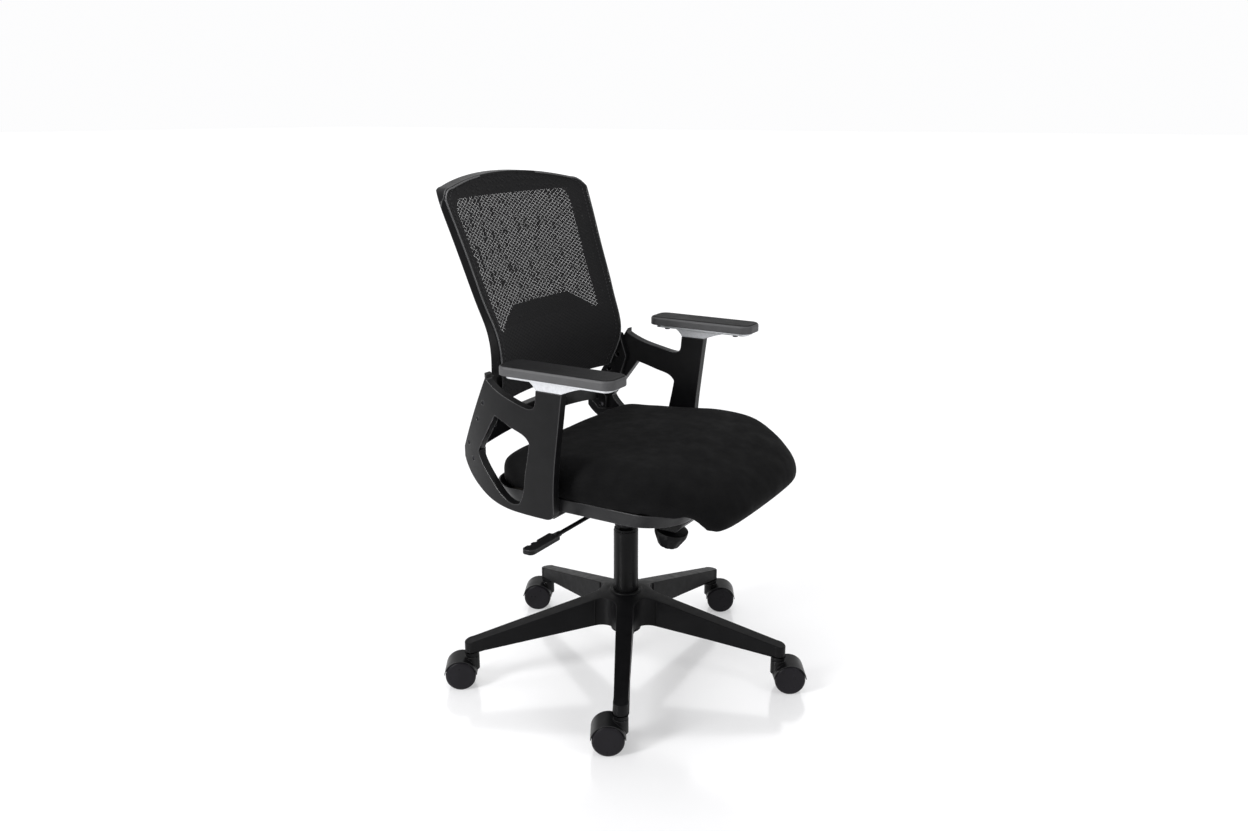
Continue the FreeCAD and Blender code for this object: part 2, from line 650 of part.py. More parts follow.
def make_seat_screws():
    """Bolts up through the plate, the arm feet and the pan into the board."""
    screws = []
    for x, y in seat_bolt_places():
        z = plate_under()
        screws.append(disc(SEAT_BOLT_R, z, PAN_RIM - 5, x, y).fuse(disc(7, z - 4, z, x, y)))
    return Part.makeCompound([s.removeSplitter() for s in screws])


def make_arm_foot_screws():
    screws = []
    for x, y in foot_bolt_places():
        z = PAN_FLOOR - GAP - FOOT_T
        screws.append(disc(SEAT_BOLT_R, z, PAN_RIM - 5, x, y).fuse(disc(7, z - 4, z, x, y)))
    return Part.makeCompound([s.removeSplitter() for s in screws])


# ------------------------------------------------------------------ arms
def bend_shell(outer_drop, thick):
    """The curved slab between two upright cylinders that an arm's wall lies in, right side (-X)."""
    cx = ARM_BEND_R - ARM_OUT
    outer = Part.makeCylinder(ARM_BEND_R - outer_drop, 500, V(cx, 0, 300), UP)
    inner = Part.makeCylinder(ARM_BEND_R - outer_drop - thick, 502, V(cx, 0, 299), UP)
    half_space = box(-400, cx - 60, -400, 400, 300, 800)
    return outer.cut(inner).common(half_space)


ARM_FRONT = ((-37.0, POST_TOP), (-34.0, 625.0), (-28.0, 577.0), (-21.0, 520.0), (-17.0, 470.0), (-17.0, 426.0))
ARM_UPPER = ((19.0, 622.0), (28.0, 611.0), (40.0, 611.0), (65.0, 616.5), (105.0, 628.0), (139.0, 646.0))
ARM_REAR = ((139.0, 656.0), (165.0, 609.0), (197.0, 549.0), (222.0, 500.0))
ARM_LOWER = ((222.0, 480.0), (204.0, 456.0), (172.0, 434.0), (139.0, 420.0), (100.0, 412.5), (57.0, ARM_UNDER))
OPEN_FRONT = ((34.0, 546.0), (39.0, 518.0), (46.0, 483.0), (52.0, 448.0), (62.0, 428.0))
OPEN_UNDER = ((62.0, 428.0), (84.0, 425.5), (107.0, 436.0), (137.0, 461.0), (164.0, 489.0), (172.0, 503.0))
OPEN_TOP = ((34.0, 546.0), (42.0, 556.0), (71.0, 567.0), (94.0, 575.0), (118.0, 583.0))


def arm_outline():
    front = smooth(ARM_FRONT)
    upper = smooth(ARM_UPPER)
    rear = smooth(ARM_REAR)
    lower = smooth(ARM_LOWER)
    corner = smooth([(ARM_FRONT[-1][0], ARM_FRONT[-1][1]), (-12.5, 415.5), (-2.0, ARM_UNDER)])
    return [front, corner, line((-2.0, ARM_UNDER), ARM_LOWER[-1]), lower, line(ARM_LOWER[0], ARM_REAR[-1]),
            rear, line(ARM_REAR[0], ARM_UPPER[-1]), upper, line(ARM_UPPER[0], (17.0, POST_TOP)),
            line((17.0, POST_TOP), ARM_FRONT[0])]


def arm_window():
    """The loop's opening between post, straps and rear plate."""
    return [smooth(OPEN_FRONT), smooth(OPEN_UNDER), line(OPEN_UNDER[-1], OPEN_TOP[-1]), smooth(OPEN_TOP)]


def make_arm_frame():
    """Moulded arm: post, two straps wrapping to the back and a foot under the seat, right side."""
    wall = side_prism(arm_outline(), -320, -160).common(bend_shell(0, ARM_T))
    wall = wall.cut(side_prism(arm_window(), -330, -150))
    z1 = PAN_FLOOR - GAP
    z0 = z1 - FOOT_T
    foot = box(-PAN_RIM_HALF - 6, -FOOT_IN, FOOT_FRONT, FOOT_REAR, z0, z1)
    reach = front_polygon([(-ARM_OUT + ARM_T + 6, ARM_UNDER + 14), (-ARM_OUT + 12, ARM_UNDER + 1),
                           (-PAN_RIM_HALF - 2, z0), (-PAN_RIM_HALF + 6, z0), (-PAN_RIM_HALF + 6, z1),
                           (-PAN_RIM_HALF - 4, z1)], FOOT_FRONT, FOOT_REAR)
    arm = fuse_all([wall, foot, reach])
    for x, y in foot_bolt_places():
        if x < 0:
            arm = arm.cut(disc(SEAT_BOLT_R + RUN, z0 - 1, z1 + 1, x, y))
    for y, z in ear_bolts():
        arm = arm.cut(bar(4 + RUN, -300, -150, y, z))
    for y, z in carrier_bolts():
        arm = arm.cut(bar(4 + RUN, -300, -150, y, z))
    arm = arm.cut(disc(SEAT_BOLT_R + RUN, POST_TOP - 30, POST_TOP + 2, post_mid_x(), NECK_SCREW_Y))
    return arm.removeSplitter()


def post_mid_x():
    return -ARM_OUT + ARM_T / 2


def ear_bolts():
    return [(152.0, 600.0), (170.0, 566.0)]


def carrier_bolts():
    return [(204.0, 512.0), (190.0, 484.0)]


def make_arm_bracket():
    """Cast T-bracket between the post and the pad, right side."""
    z1 = PAD_TOP - PAD_T - GAP
    top = box(-BRACKET_W / 2, BRACKET_W / 2, -BRACKET_LEN / 2, BRACKET_LEN / 2, z1 - BRACKET_T, z1)
    top = top.makeFillet(12.0, [e for e in top.Edges if abs(e.BoundBox.ZLength - BRACKET_T) < 0.01])
    top.translate(V(-PAD_MID_X, PAD_MID_Y, 0))
    low = POST_TOP
    neck_edges = [line((-37.0, low), (17.0, low)), smooth([(17.0, low), (24.0, low + 9), (62.0, z1 - 3)]),
                  line((62.0, z1 - 3), (-118.0, z1 - 3)),
                  smooth([(-118.0, z1 - 3), (-60.0, low + 9), (-37.0, low)])]
    neck = side_prism(neck_edges, -ARM_OUT + 0.5, -ARM_OUT + ARM_T - 0.5)
    bracket = top.fuse(neck)
    bracket = bracket.cut(disc(SEAT_BOLT_R + RUN, low - 1, z1 - 8, post_mid_x(), NECK_SCREW_Y))
    for y in pad_screw_ys():
        bracket = bracket.cut(disc(3 + RUN, z1 - BRACKET_T - 1, z1 + 1, -PAD_MID_X + 14, y))
    return bracket.removeSplitter()


def pad_screw_ys():
    return (PAD_MID_Y - 80, PAD_MID_Y + 80)


def make_arm_pad():
    """Padded armrest with a flat top, a rounded rim and rounded ends, right side."""
    z0, z1 = PAD_TOP - PAD_T, PAD_TOP
    pad = box(-PAD_W / 2, PAD_W / 2, -PAD_LEN / 2, PAD_LEN / 2, z0, z1)
    pad = pad.makeFillet(20.0, [e for e in pad.Edges if abs(e.BoundBox.ZLength - PAD_T) < 0.01])
    pad = pad.makeFillet(6.0, [e for e in pad.Edges if abs(e.BoundBox.ZMin - z1) < 0.01])
    pad.translate(V(-PAD_MID_X, PAD_MID_Y, 0))
    for y in pad_screw_ys():
        pad = pad.cut(disc(3 + RUN, z0 - 1, z0 + 9, -PAD_MID_X + 14, y))
    return pad


def make_arm_screws():
    """Screws up into each pad and down each bracket's neck, both arms."""
    z1 = PAD_TOP - PAD_T - GAP
    screws = []
    for y in pad_screw_ys():
        body = disc(3, z1 - BRACKET_T, z1 + 8, -PAD_MID_X + 14, y)
        screws.append(body.fuse(disc(5.5, z1 - BRACKET_T - 3, z1 - BRACKET_T, -PAD_MID_X + 14, y)))
    screws.append(disc(SEAT_BOLT_R, POST_TOP - 28, z1 - 9, post_mid_x(), NECK_SCREW_Y))
    return Part.makeCompound(screws + [mirrored(s) for s in screws])


# ------------------------------------------------------------------ back
def station(z):
    """Front edge half width, front edge y and outer half width of the back at a height."""
    rows = BACK_STATIONS
    for a, b in zip(rows, rows[1:]):
        if a[0] <= z <= b[0]:
            t = (z - a[0]) / (b[0] - a[0])
            return [a[i] + t * (b[i] - a[i]) for i in (1, 2, 3)]
    return list(rows[-1][1:])


def back_front_arc(z, w, y):
    return Part.Arc(V(-w, y, z), V(0, y + BOW, z), V(w, y, z)).toShape()


def back_band(z, front, rear, w):
    """Plan section of the mesh at height z: two bowed faces joined by short sides."""
    y = station(z)[1]
    sides = [Part.LineSegment(V(w, y + front, z), V(w, y + rear, z)).toShape(),
             Part.LineSegment(V(-w, y + rear, z), V(-w, y + front, z)).toShape()]
    return Part.Wire([back_front_arc(z, w, y + front), sides[0], back_front_arc(z, w, y + rear), sides[1]])


def frame_band(z):
    """Plan section of the frame's slab: thin at its outer edges and deep between its rails."""
    w, y, outer = station(z)
    inner = w - BACK_EDGE_IN
    edges = [back_front_arc(z, w, y)]
    points = [V(w, y, z), V(outer, y + BACK_EDGE_T, z), V(inner, y + BACK_T, z)]
    for a, b in zip(points, points[1:]):
        edges.append(Part.LineSegment(a, b).toShape())
    rear = y + BACK_T
    edges.append(Part.Arc(V(inner, rear, z), V(0, rear + BOW, z), V(-inner, rear, z)).toShape())
    flipped = [V(-p.x, p.y, p.z) for p in reversed(points)]
    for a, b in zip(flipped, flipped[1:]):
        edges.append(Part.LineSegment(a, b).toShape())
    return Part.Wire(edges)


def back_slab():
    return Part.makeLoft([frame_band(row[0]) for row in BACK_STATIONS], True, False)


def back_outline(inset, foot, top):
    """Front view of the back: straight foot, rounded shoulders, gently arched top."""
    w_top = station(top - 40)[2] - inset
    w_mid = 260.0
    k = math.sqrt(0.5)
    r = SHOULDER_RAD - inset / 2
    shoulder = top - 20
    y0 = 60
    pts = [V(-w_mid, y0, foot), V(w_mid, y0, foot), V(w_mid, y0, shoulder - r - 30)]
    edge_r = V(w_top, y0, shoulder - r)
    arc_end_r = V(w_top - r, y0, shoulder)
    mid_r = V(w_top - r + k * r, y0, shoulder - r + k * r)
    edges = [Part.LineSegment(pts[0], pts[1]).toShape(), Part.LineSegment(pts[1], pts[2]).toShape(),
             Part.LineSegment(pts[2], edge_r).toShape(), Part.Arc(edge_r, mid_r, arc_end_r).toShape()]
    arc_end_l, mid_l, edge_l, hip_l = [V(-p.x, p.y, p.z) for p in (arc_end_r, mid_r, edge_r, pts[2])]
    edges.append(Part.Arc(arc_end_r, V(0, y0, top), arc_end_l).toShape())
    edges.append(Part.Arc(arc_end_l, mid_l, edge_l).toShape())
    edges.append(Part.LineSegment(edge_l, hip_l).toShape())
    edges.append(Part.LineSegment(hip_l, pts[0]).toShape())
    return Part.Face(Part.Wire(edges)).extrude(V(0, 260, 0))


def back_opening():
    """Prism of the frame's opening, narrowing with the side rails, with round corners."""
    z0, z1 = BACK_FOOT + FOOT_RAIL, BACK_TOP - TOP_RAIL
    w0 = station(z0)[0] - RAIL_W
    w1 = station(z1)[0] - RAIL_W + 2
    pts = [V(-w0, 60, z0), V(w0, 60, z0), V(w1, 60, z1), V(-w1, 60, z1)]
    prism = Part.Face(Part.makePolygon(pts + [pts[0]])).extrude(V(0, 260, 0))
    return prism.makeFillet(26.0, [e for e in prism.Edges if e.BoundBox.YLength > 250])


def make_back_frame():
    """Moulded frame of the back with two ears that go down inside the arms."""
    slab = back_slab().common(back_outline(0, BACK_FOOT, BACK_TOP))
    slab = slab.cut(back_opening()).fuse(back_skirt())
    drop = GAP + ARM_T
    ear_edges = [line((148.0, 646.0), (134.0, 596.0)), line((134.0, 596.0), (150.0, 548.0)),
                 line((150.0, 548.0), (184.0, 540.0)), line((184.0, 540.0), (190.0, 556.0)),
                 line((190.0, 556.0), (163.0, 610.0)), line((163.0, 610.0), (165.0, 650.0)),
                 line((165.0, 650.0), (148.0, 646.0))]
    ear = side_prism(ear_edges, -320, -160).common(bend_shell(drop, EAR_T + 6))
    slab = slab.cut(bend_cut())
    body = slab.fuse(ear).fuse(mirrored(ear))
    for y, z in ear_bolts():
        body = body.cut(bar(4 + RUN, -300, 300, y, z))
    for side in (-1, 1):
        body = body.fuse(lumbar_guide(side))
    return body.removeSplitter()


def back_skirt():
    """Thin skin across the foot of the opening, slotted for the lumbar plate's legs."""
    solid = back_slab()
    ahead = solid.copy()
    ahead.translate(V(0, -SKIRT_T, 0))
    foot = BACK_FOOT + FOOT_RAIL
    skin = solid.cut(ahead).common(box(-SKIRT_HALF, SKIRT_HALF, 60, 320, foot - 4, SKIRT_TOP))
    for side in (-1, 1):
        x = side * LUG_X
        skin = skin.cut(box(x - LUG_W / 2 - 1, x + LUG_W / 2 + 1, 60, 320, foot + GAP, SKIRT_TOP + 1))
    return skin


def bend_cut():
    """What the arms' rear plates need left free beside the foot of the back."""
    cut = box(-300, 300, 60, 320, 560, 660).cut(
        Part.makeCylinder(ARM_BEND_R - ARM_T - GAP, 200, V(ARM_BEND_R - ARM_OUT, 0, 540), UP).common(
            Part.makeCylinder(ARM_BEND_R - ARM_T - GAP, 200, V(ARM_OUT - ARM_BEND_R, 0, 540), UP)))
    return cut


def lumbar_guide(side):
    """U-shaped guide on the back of the foot rail, for one leg of the lumbar plate."""
    z0, z1 = BACK_FOOT + 8, BACK_FOOT + FOOT_RAIL - 6
    y = leg_front_y()
    wall = 3.0
    outer = box(LUG_X - LUG_W / 2 - wall - GAP, LUG_X + LUG_W / 2 + wall + GAP, y - 18,
                y + LUMBAR_T + wall + GAP, z0, z1)
    slot = box(LUG_X - LUG_W / 2 - GAP, LUG_X + LUG_W / 2 + GAP, y - GAP, y + LUMBAR_T + GAP, z0 - 1, z1 + 1)
    guide = outer.cut(slot)
    return guide if side > 0 else mirrored(guide)


def leg_front_y():
    """Front face of the lumbar plate's legs, clear of the foot rail's rear face."""
    return station(BACK_FOOT)[1] + BACK_T + BOW + 3.0


def plate_y(z, x):
    """Front face of the lumbar plate at a height, x from the middle."""
    w, y, _ = station(z)
    return y + BOW * (1 - (x / w) ** 2) + LUMBAR_GAP


def make_lumbar_support():
    """Bowed plate behind the mesh that slides up and down on two legs."""
    front = LUMBAR_GAP
    rows = [LUMBAR_FOOT + k * (LUMBAR_TOP - LUMBAR_FOOT) / 3 for k in range(4)]
    wires = []
    for z in rows:
        w, y, _ = station(z)
        bow = BOW * (1 - (LUMBAR_HALF / w) ** 2)
        y0 = y + BOW - bow + front
        wires.append(Part.Wire([
            Part.Arc(V(-LUMBAR_HALF, y0, z), V(0, y0 + bow, z), V(LUMBAR_HALF, y0, z)).toShape(),
            Part.LineSegment(V(LUMBAR_HALF, y0, z), V(LUMBAR_HALF, y0 + LUMBAR_T, z)).toShape(),
            Part.Arc(V(LUMBAR_HALF, y0 + LUMBAR_T, z), V(0, y0 + LUMBAR_T + bow, z),
                     V(-LUMBAR_HALF, y0 + LUMBAR_T, z)).toShape(),
            Part.LineSegment(V(-LUMBAR_HALF, y0 + LUMBAR_T, z), V(-LUMBAR_HALF, y0, z)).toShape()]))
    plate = Part.makeLoft(wires, True, False)
    top = front_polygon([(-LUMBAR_HALF - 5, LUMBAR_FOOT - 5), (LUMBAR_HALF + 5, LUMBAR_FOOT - 5),
                         (LUMBAR_HALF + 5, LUMBAR_TOP - 34), (LUMBAR_HALF * 0.62, LUMBAR_TOP + 1),
                         (-LUMBAR_HALF * 0.62, LUMBAR_TOP + 1), (-LUMBAR_HALF - 5, LUMBAR_TOP - 34)], 60, 320)
    plate = plate.common(top)
    y = leg_front_y()
    parts = [plate]
    for side in (-1, 1):
        leg = box(LUG_X - LUG_W / 2, LUG_X + LUG_W / 2, y, y + LUMBAR_T, BACK_FOOT + 4, LUMBAR_FOOT + 14)
        bridge = box(LUG_X - LUG_W / 2, LUG_X + LUG_W / 2, plate_y(LUMBAR_FOOT + 12, LUG_X) + 1, y + LUMBAR_T,
                     LUMBAR_FOOT + 10, LUMBAR_FOOT + 14)
        leg = leg.fuse(bridge)
        parts.append(leg if side > 0 else mirrored(leg))
    return fuse_all(parts)


def make_back_mesh():
    """Knitted mesh stretched over the front of the frame."""
    wires = [back_band(row[0], -GAP - MESH_T, -GAP, row[1]) for row in BACK_STATIONS]
    slab = Part.makeLoft(wires, True, False)
    return slab.common(back_outline(3.0, BACK_FOOT + 2, BACK_TOP - 3))


def make_back_carrier():
    """Cross-member behind the back that ties the rear ends of both arms together."""
    half = 232.0
    y0, y1 = CARRIER_Y - CARRIER_T / 2, CARRIER_Y + CARRIER_T / 2
    foot = 496.0
    arch = [Part.Arc(V(-half, y0, foot - 4), V(0, y0, foot + 16), V(half, y0, foot - 4)).toShape(),
            Part.LineSegment(V(half, y0, foot - 4), V(half, y0, foot + CARRIER_H - 14)).toShape(),
            Part.Arc(V(half, y0, foot + CARRIER_H - 14), V(0, y0, foot + CARRIER_H),
                     V(-half, y0, foot + CARRIER_H - 14)).toShape(),
            Part.LineSegment(V(-half, y0, foot + CARRIER_H - 14), V(-half, y0, foot - 4)).toShape()]
    beam = Part.Face(Part.Wire(arch)).extrude(V(0, y1 - y0, 0))
    cheek = side_polygon([(180.0, 474.0), (196.0, 474.0), (214.0, 500.0), (214.0, 530.0), (196.0, 530.0),
                          (180.0, 500.0)], -320, -160).common(bend_shell(GAP + ARM_T, EAR_T))
    keep = Part.makeCylinder(ARM_BEND_R - ARM_T - GAP, 200, V(ARM_BEND_R - ARM_OUT, 0, 440), UP).common(
        Part.makeCylinder(ARM_BEND_R - ARM_T - GAP, 200, V(ARM_OUT - ARM_BEND_R, 0, 440), UP))
    body = fuse_all([beam.common(keep), cheek, mirrored(cheek)])
    for y, z in carrier_bolts():
        body = body.cut(bar(4 + RUN, -300, 300, y, z))
    return body


def arm_face_x(y, drop):
    r = ARM_BEND_R - drop
    return ARM_BEND_R - ARM_OUT - math.sqrt(r * r - y * y)


def make_back_screws():
    """Screws through the arms' rear plates into the back frame and the carrier."""
    screws = []
    for y, z in ear_bolts() + carrier_bolts():
        outer = arm_face_x(y, 0)
        inner = arm_face_x(y, ARM_T + EAR_T - 2)
        shank = bar(4, outer + 3, inner, y, z)
        screws.append(shank)
        screws.append(mirrored(shank))
    return Part.makeCompound(screws)


# ------------------------------------------------------------------ casters
def half_web():
    return WEB_T / 2


def make_caster_parts():
    """One caster at the origin, stem on Z, trailing along +X: hood, stem, axle and two wheels."""
    outer_y = half_web() + GAP + WHEEL_W
    hood_r = WHEEL_R + HOOD_AIR + HOOD_T
    along = V(0, 1, 0)
    shell = Part.makeCylinder(hood_r, 2 * outer_y - 3, V(TRAIL, -outer_y + 1.5, WHEEL_R), along)
    bore = Part.makeCylinder(hood_r - HOOD_T, 2 * outer_y, V(TRAIL, -outer_y, WHEEL_R), along)
    fender = shell.cut(bore)
    low = box(TRAIL - 50, TRAIL + 50, -40, 40, -10, WHEEL_R + HOOD_HEM)
    fender = fender.cut(low)
    web = Part.makeCylinder(WHEEL_R - 7, WEB_T, V(TRAIL, -half_web(), WHEEL_R), along)
    web = web.fuse(box(0, TRAIL, -half_web(), half_web(), WHEEL_R, BOSS_UNDER - GAP - 5))
    web = web.fuse(Part.makeCylinder(hood_r - 0.5, WEB_T, V(TRAIL, -half_web(), WHEEL_R), along).cut(
        box(TRAIL - 60, TRAIL + 60, -20, 20, -20, WHEEL_R)))
    collar = disc(COLLAR_R, WHEEL_R + 6, BOSS_UNDER - GAP)
    wheel_room = []
    for side in (-1, 1):
        y0 = half_web() if side > 0 else -half_web() - 60
        wheel_room.append(Part.makeCylinder(WHEEL_R + HOOD_AIR, 60, V(TRAIL, y0, WHEEL_R), along))
    collar = collar.cut(wheel_room[0]).cut(wheel_room[1])
    hood = fuse_all([fender, web, collar])
    hood = hood.cut(disc(STEM_RAD, WHEEL_R + 12, BOSS_UNDER + 1))
    hood = hood.cut(Part.makeCylinder(AXLE_R, 60, V(TRAIL, -30, WHEEL_R), along))
    stem = disc(STEM_RAD, WHEEL_R + 12, BOSS_UNDER + STEM_UP - 7)
    axle = Part.makeCylinder(AXLE_R, 2 * outer_y - 8, V(TRAIL, -outer_y + 4, WHEEL_R), along)
    wheels = []
    for side in (1, -1):
        wheel = spun([(0, 0), (WHEEL_R - 1.5, 0), (WHEEL_R, 1.5), (WHEEL_R, WHEEL_W - 3),
                      (WHEEL_R - 2.5, WHEEL_W - 0.6), (WHEEL_R - 7, WHEEL_W), (0, WHEEL_W)])
        recess = spun([(9, -1), (WHEEL_R - TYRE_T, -1), (WHEEL_R - TYRE_T, WHEEL_W - 5), (9, WHEEL_W - 5)])
        wheel = wheel.cut(recess).cut(disc(AXLE_R + RUN, -1, WHEEL_W - 3.9))
        wheel.rotate(V(0, 0, 0), ACROSS, -90)
        wheel.translate(V(TRAIL, half_web() + GAP, WHEEL_R))
        wheels.append(wheel if side > 0 else wheel.mirror(V(0, 0, 0), along))
    return {"hood": hood, "stem": stem, "axle": axle, "wheel_a": wheels[0], "wheel_b": wheels[1]}


CASTER_NAMES = ("front", "right", "back_right", "back_left", "left")


def make_casters():
    nodes = {}
    for i, name in enumerate(CASTER_NAMES):
        c = radial(STEM_R, leg_angle(i))
        for piece, shape in make_caster_parts().items():
            placed = shape.copy()
            placed.rotate(V(0, 0, 0), UP, HEADINGS[i])
            placed.translate(c)
            nodes["caster_%s_%s" % (name, piece)] = placed
    return nodes


# ------------------------------------------------------------------ all nodes
def build():
    nodes = {
        "base_star": make_base_star(),
        "column_tube": make_column_tube(),
        "column_bushing": make_column_bushing(),
        "thrust_bearing": make_thrust_bearing(),
        "piston_rod": make_piston_rod(),
        "rod_clip": make_rod_clip(),
        "gas_cylinder": make_gas_cylinder(),
        "valve_pin": make_valve_pin(),
        "tilt_housing": make_tilt_housing(),
        "tilt_shaft": make_tilt_shaft(),
        "tilt_plate": make_tilt_plate(),
        "tilt_spring": make_tilt_spring(),
        "tension_bolt": make_tension_bolt(),
        "tension_knob": make_tension_knob(),
        "lever_block": make_lever_block(),
        "lever_rod": make_lever(),
        "lever_paddle": make_lever_paddle(),
        "seat_pan": make_seat_pan(),
        "seat_board": make_seat_board(),
        "seat_cushion": make_seat_cushion(),
        "seat_screws": make_seat_screws(),
        "arm_foot_screws": make_arm_foot_screws(),
        "arm_screws": make_arm_screws(),
        "back_frame": make_back_frame(),
        "back_mesh": make_back_mesh(),
        "lumbar_support": make_lumbar_support(),
        "back_carrier": make_back_carrier(),
        "back_screws": make_back_screws(),
    }
    for name, shape in (("arm_frame", make_arm_frame()), ("arm_bracket", make_arm_bracket()),
                        ("arm_pad", make_arm_pad())):
        nodes[name + "_right"] = shape
        nodes[name + "_left"] = mirrored(shape)
    nodes.update(make_casters())
    return nodes


os.makedirs("parts", exist_ok=True)
for name, shape in build().items():
    shape.exportStep("parts/%s.step" % name)
    b = shape.BoundBox
    print("%-26s solids %d valid %s vol %9.0f  x %.0f %.0f y %.0f %.0f z %.0f %.0f" % (
        name, len(shape.Solids), shape.isValid(), shape.Volume, b.XMin, b.XMax, b.YMin, b.YMax, b.ZMin, b.ZMax))
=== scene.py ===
import json
import math

import bmesh
import bpy
from mathutils import Matrix, Vector
from mathutils.bvhtree import BVHTree


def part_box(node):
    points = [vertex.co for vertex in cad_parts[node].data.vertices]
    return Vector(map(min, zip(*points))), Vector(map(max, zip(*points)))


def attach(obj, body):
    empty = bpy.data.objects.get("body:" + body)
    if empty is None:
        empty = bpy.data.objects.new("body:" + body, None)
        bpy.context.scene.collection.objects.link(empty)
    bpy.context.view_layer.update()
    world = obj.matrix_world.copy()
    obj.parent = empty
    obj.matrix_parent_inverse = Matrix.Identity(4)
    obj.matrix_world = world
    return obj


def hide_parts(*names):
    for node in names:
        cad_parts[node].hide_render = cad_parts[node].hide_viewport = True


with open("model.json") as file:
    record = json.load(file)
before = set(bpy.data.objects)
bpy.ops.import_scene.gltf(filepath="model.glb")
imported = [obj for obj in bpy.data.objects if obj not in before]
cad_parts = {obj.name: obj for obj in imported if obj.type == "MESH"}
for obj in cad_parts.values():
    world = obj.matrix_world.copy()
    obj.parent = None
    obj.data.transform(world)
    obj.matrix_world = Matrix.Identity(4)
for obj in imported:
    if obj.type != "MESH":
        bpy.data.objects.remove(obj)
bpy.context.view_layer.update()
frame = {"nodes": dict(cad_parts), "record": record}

# ---------------------------------------------------------------------------
# Five-star base.
# One injection moulding in glass-filled nylon: five tapering legs with flat tops and a
# tapped boss under each tip, moulded round the hub that the gas column is pressed into.

BASE_EDGE = 0.0016
NYLON = (0.0042, 0.0042, 0.0046)


def link(nodes, source, target):
    nodes.id_data.links.new(source, target)


def add(nodes, kind, **inputs):
    """A shader node with its plain input values set by name."""
    made = nodes.new(kind)
    for name, value in inputs.items():
        made.inputs[name.replace("_", " ")].default_value = value
    return made


def combine(nodes, operation, first, second):
    """Two values worked into one, the second either a socket or a plain number."""
    made = nodes.new("ShaderNodeMath")
    made.operation = operation
    link(nodes, first, made.inputs[0])
    if isinstance(second, float):
        made.inputs[1].default_value = second
    else:
        link(nodes, second, made.inputs[1])
    return made.outputs[0]


def shader(name, metallic=0.0, specular=0.5, sheen=0.0, coat=0.0, coat_roughness=0.1):
    """A new material, with its surface shader and its object coordinates."""
    material = bpy.data.materials.new(name)
    material.use_nodes = True
    nodes = material.node_tree.nodes
    surface = nodes["Principled BSDF"]
    surface.inputs["Metallic"].default_value = metallic
    surface.inputs["Specular IOR Level"].default_value = specular
    surface.inputs["Sheen Weight"].default_value = sheen
    surface.inputs["Sheen Roughness"].default_value = 0.45
    surface.inputs["Coat Weight"].default_value = coat
    surface.inputs["Coat Roughness"].default_value = coat_roughness
    return material, nodes, surface, nodes.new("ShaderNodeTexCoord").outputs["Object"]


def spread(nodes, factor, low, high):
    """A value that runs from low to high as the factor runs over its middle range."""
    made = add(nodes, "ShaderNodeMapRange", From_Min=0.3, From_Max=0.7, To_Min=low, To_Max=high)
    link(nodes, factor, made.inputs["Value"])
    return made.outputs["Result"]


def tint(nodes, factor, dark, light):
    """A colour between two of the same finish."""
    made = nodes.new("ShaderNodeMix")
    made.data_type = "RGBA"
    made.inputs["A"].default_value = (*dark, 1)
    made.inputs["B"].default_value = (*light, 1)
    link(nodes, spread(nodes, factor, 0, 1), made.inputs["Factor"])
    return made.outputs["Result"]


def noise(nodes, coords, scale, detail=2.0, stretch=None):
    """Cloudy grain, pulled out along an axis where stretch is given."""
    if stretch:
        mapping = add(nodes, "ShaderNodeMapping", Scale=stretch)
        link(nodes, coords, mapping.inputs["Vector"])
        coords = mapping.outputs["Vector"]
    made = add(nodes, "ShaderNodeTexNoise", Scale=scale, Detail=detail)
    link(nodes, coords, made.inputs["Vector"])
    return made.outputs["Fac"]


def bump(nodes, surface, layers):
    """Stacks height patterns, each with its strength and its depth in metres."""
    normal = None
    for height, strength, depth in layers:
        made = add(nodes, "ShaderNodeBump", Strength=strength, Distance=depth)
        link(nodes, height, made.inputs["Height"])
        if normal:
            link(nodes, normal, made.inputs["Normal"])
        normal = made.outputs["Normal"]
    link(nodes, normal, surface.inputs["Normal"])


def moulded(name, colour, rough, grain=1500, depth=0.00006, specular=0.1, lift=1.5):
    """Moulded plastic: fine spark texture, slow sink marks and slightly uneven gloss."""
    material, nodes, surface, coords = shader(name, specular=specular)
    cloud = noise(nodes, coords, 26, 3)
    link(nodes, tint(nodes, cloud, colour, [c * lift for c in colour]), surface.inputs["Base Color"])
    link(nodes, spread(nodes, noise(nodes, coords, 70, 3), *rough), surface.inputs["Roughness"])
    bump(nodes, surface, [(noise(nodes, coords, 9, 1), 0.25, 0.0012),
                          (noise(nodes, coords, grain, 2), 0.5, depth)])
    return material


nylon = moulded("nylon_satin", NYLON, (0.36, 0.48))
# The edge material is a lighter, glossier nylon for the bevel faces: a painted highlight along the edges.
edge_highlight_nylon = moulded("nylon_painted_edge_highlight", (0.017, 0.017, 0.018), (0.2, 0.28), specular=0.45, depth=0.00002)


def node_facts(node):
    """The body that a CAD node rides on and the finish slot that it has."""
    bodies = frame["record"]["behaviour"]["bodies"]
    body = next(name for name, nodes in bodies.items() if node in nodes)
    slot = next(s["material_slot"] for s in frame["record"]["subparts"] if s["node"] == node)
    return body, slot


def joined(node):
    """A copy of a CAD node's mesh with its loose triangles joined into flat faces."""
    shape = bmesh.new()
    shape.from_mesh(frame["nodes"][node].data)
    bmesh.ops.remove_doubles(shape, verts=shape.verts, dist=0.000004)
    bmesh.ops.dissolve_degenerate(shape, edges=shape.edges, dist=0.000002)
    bmesh.ops.dissolve_limit(shape, verts=shape.verts, edges=shape.edges, angle_limit=math.radians(0.5))
    return shape


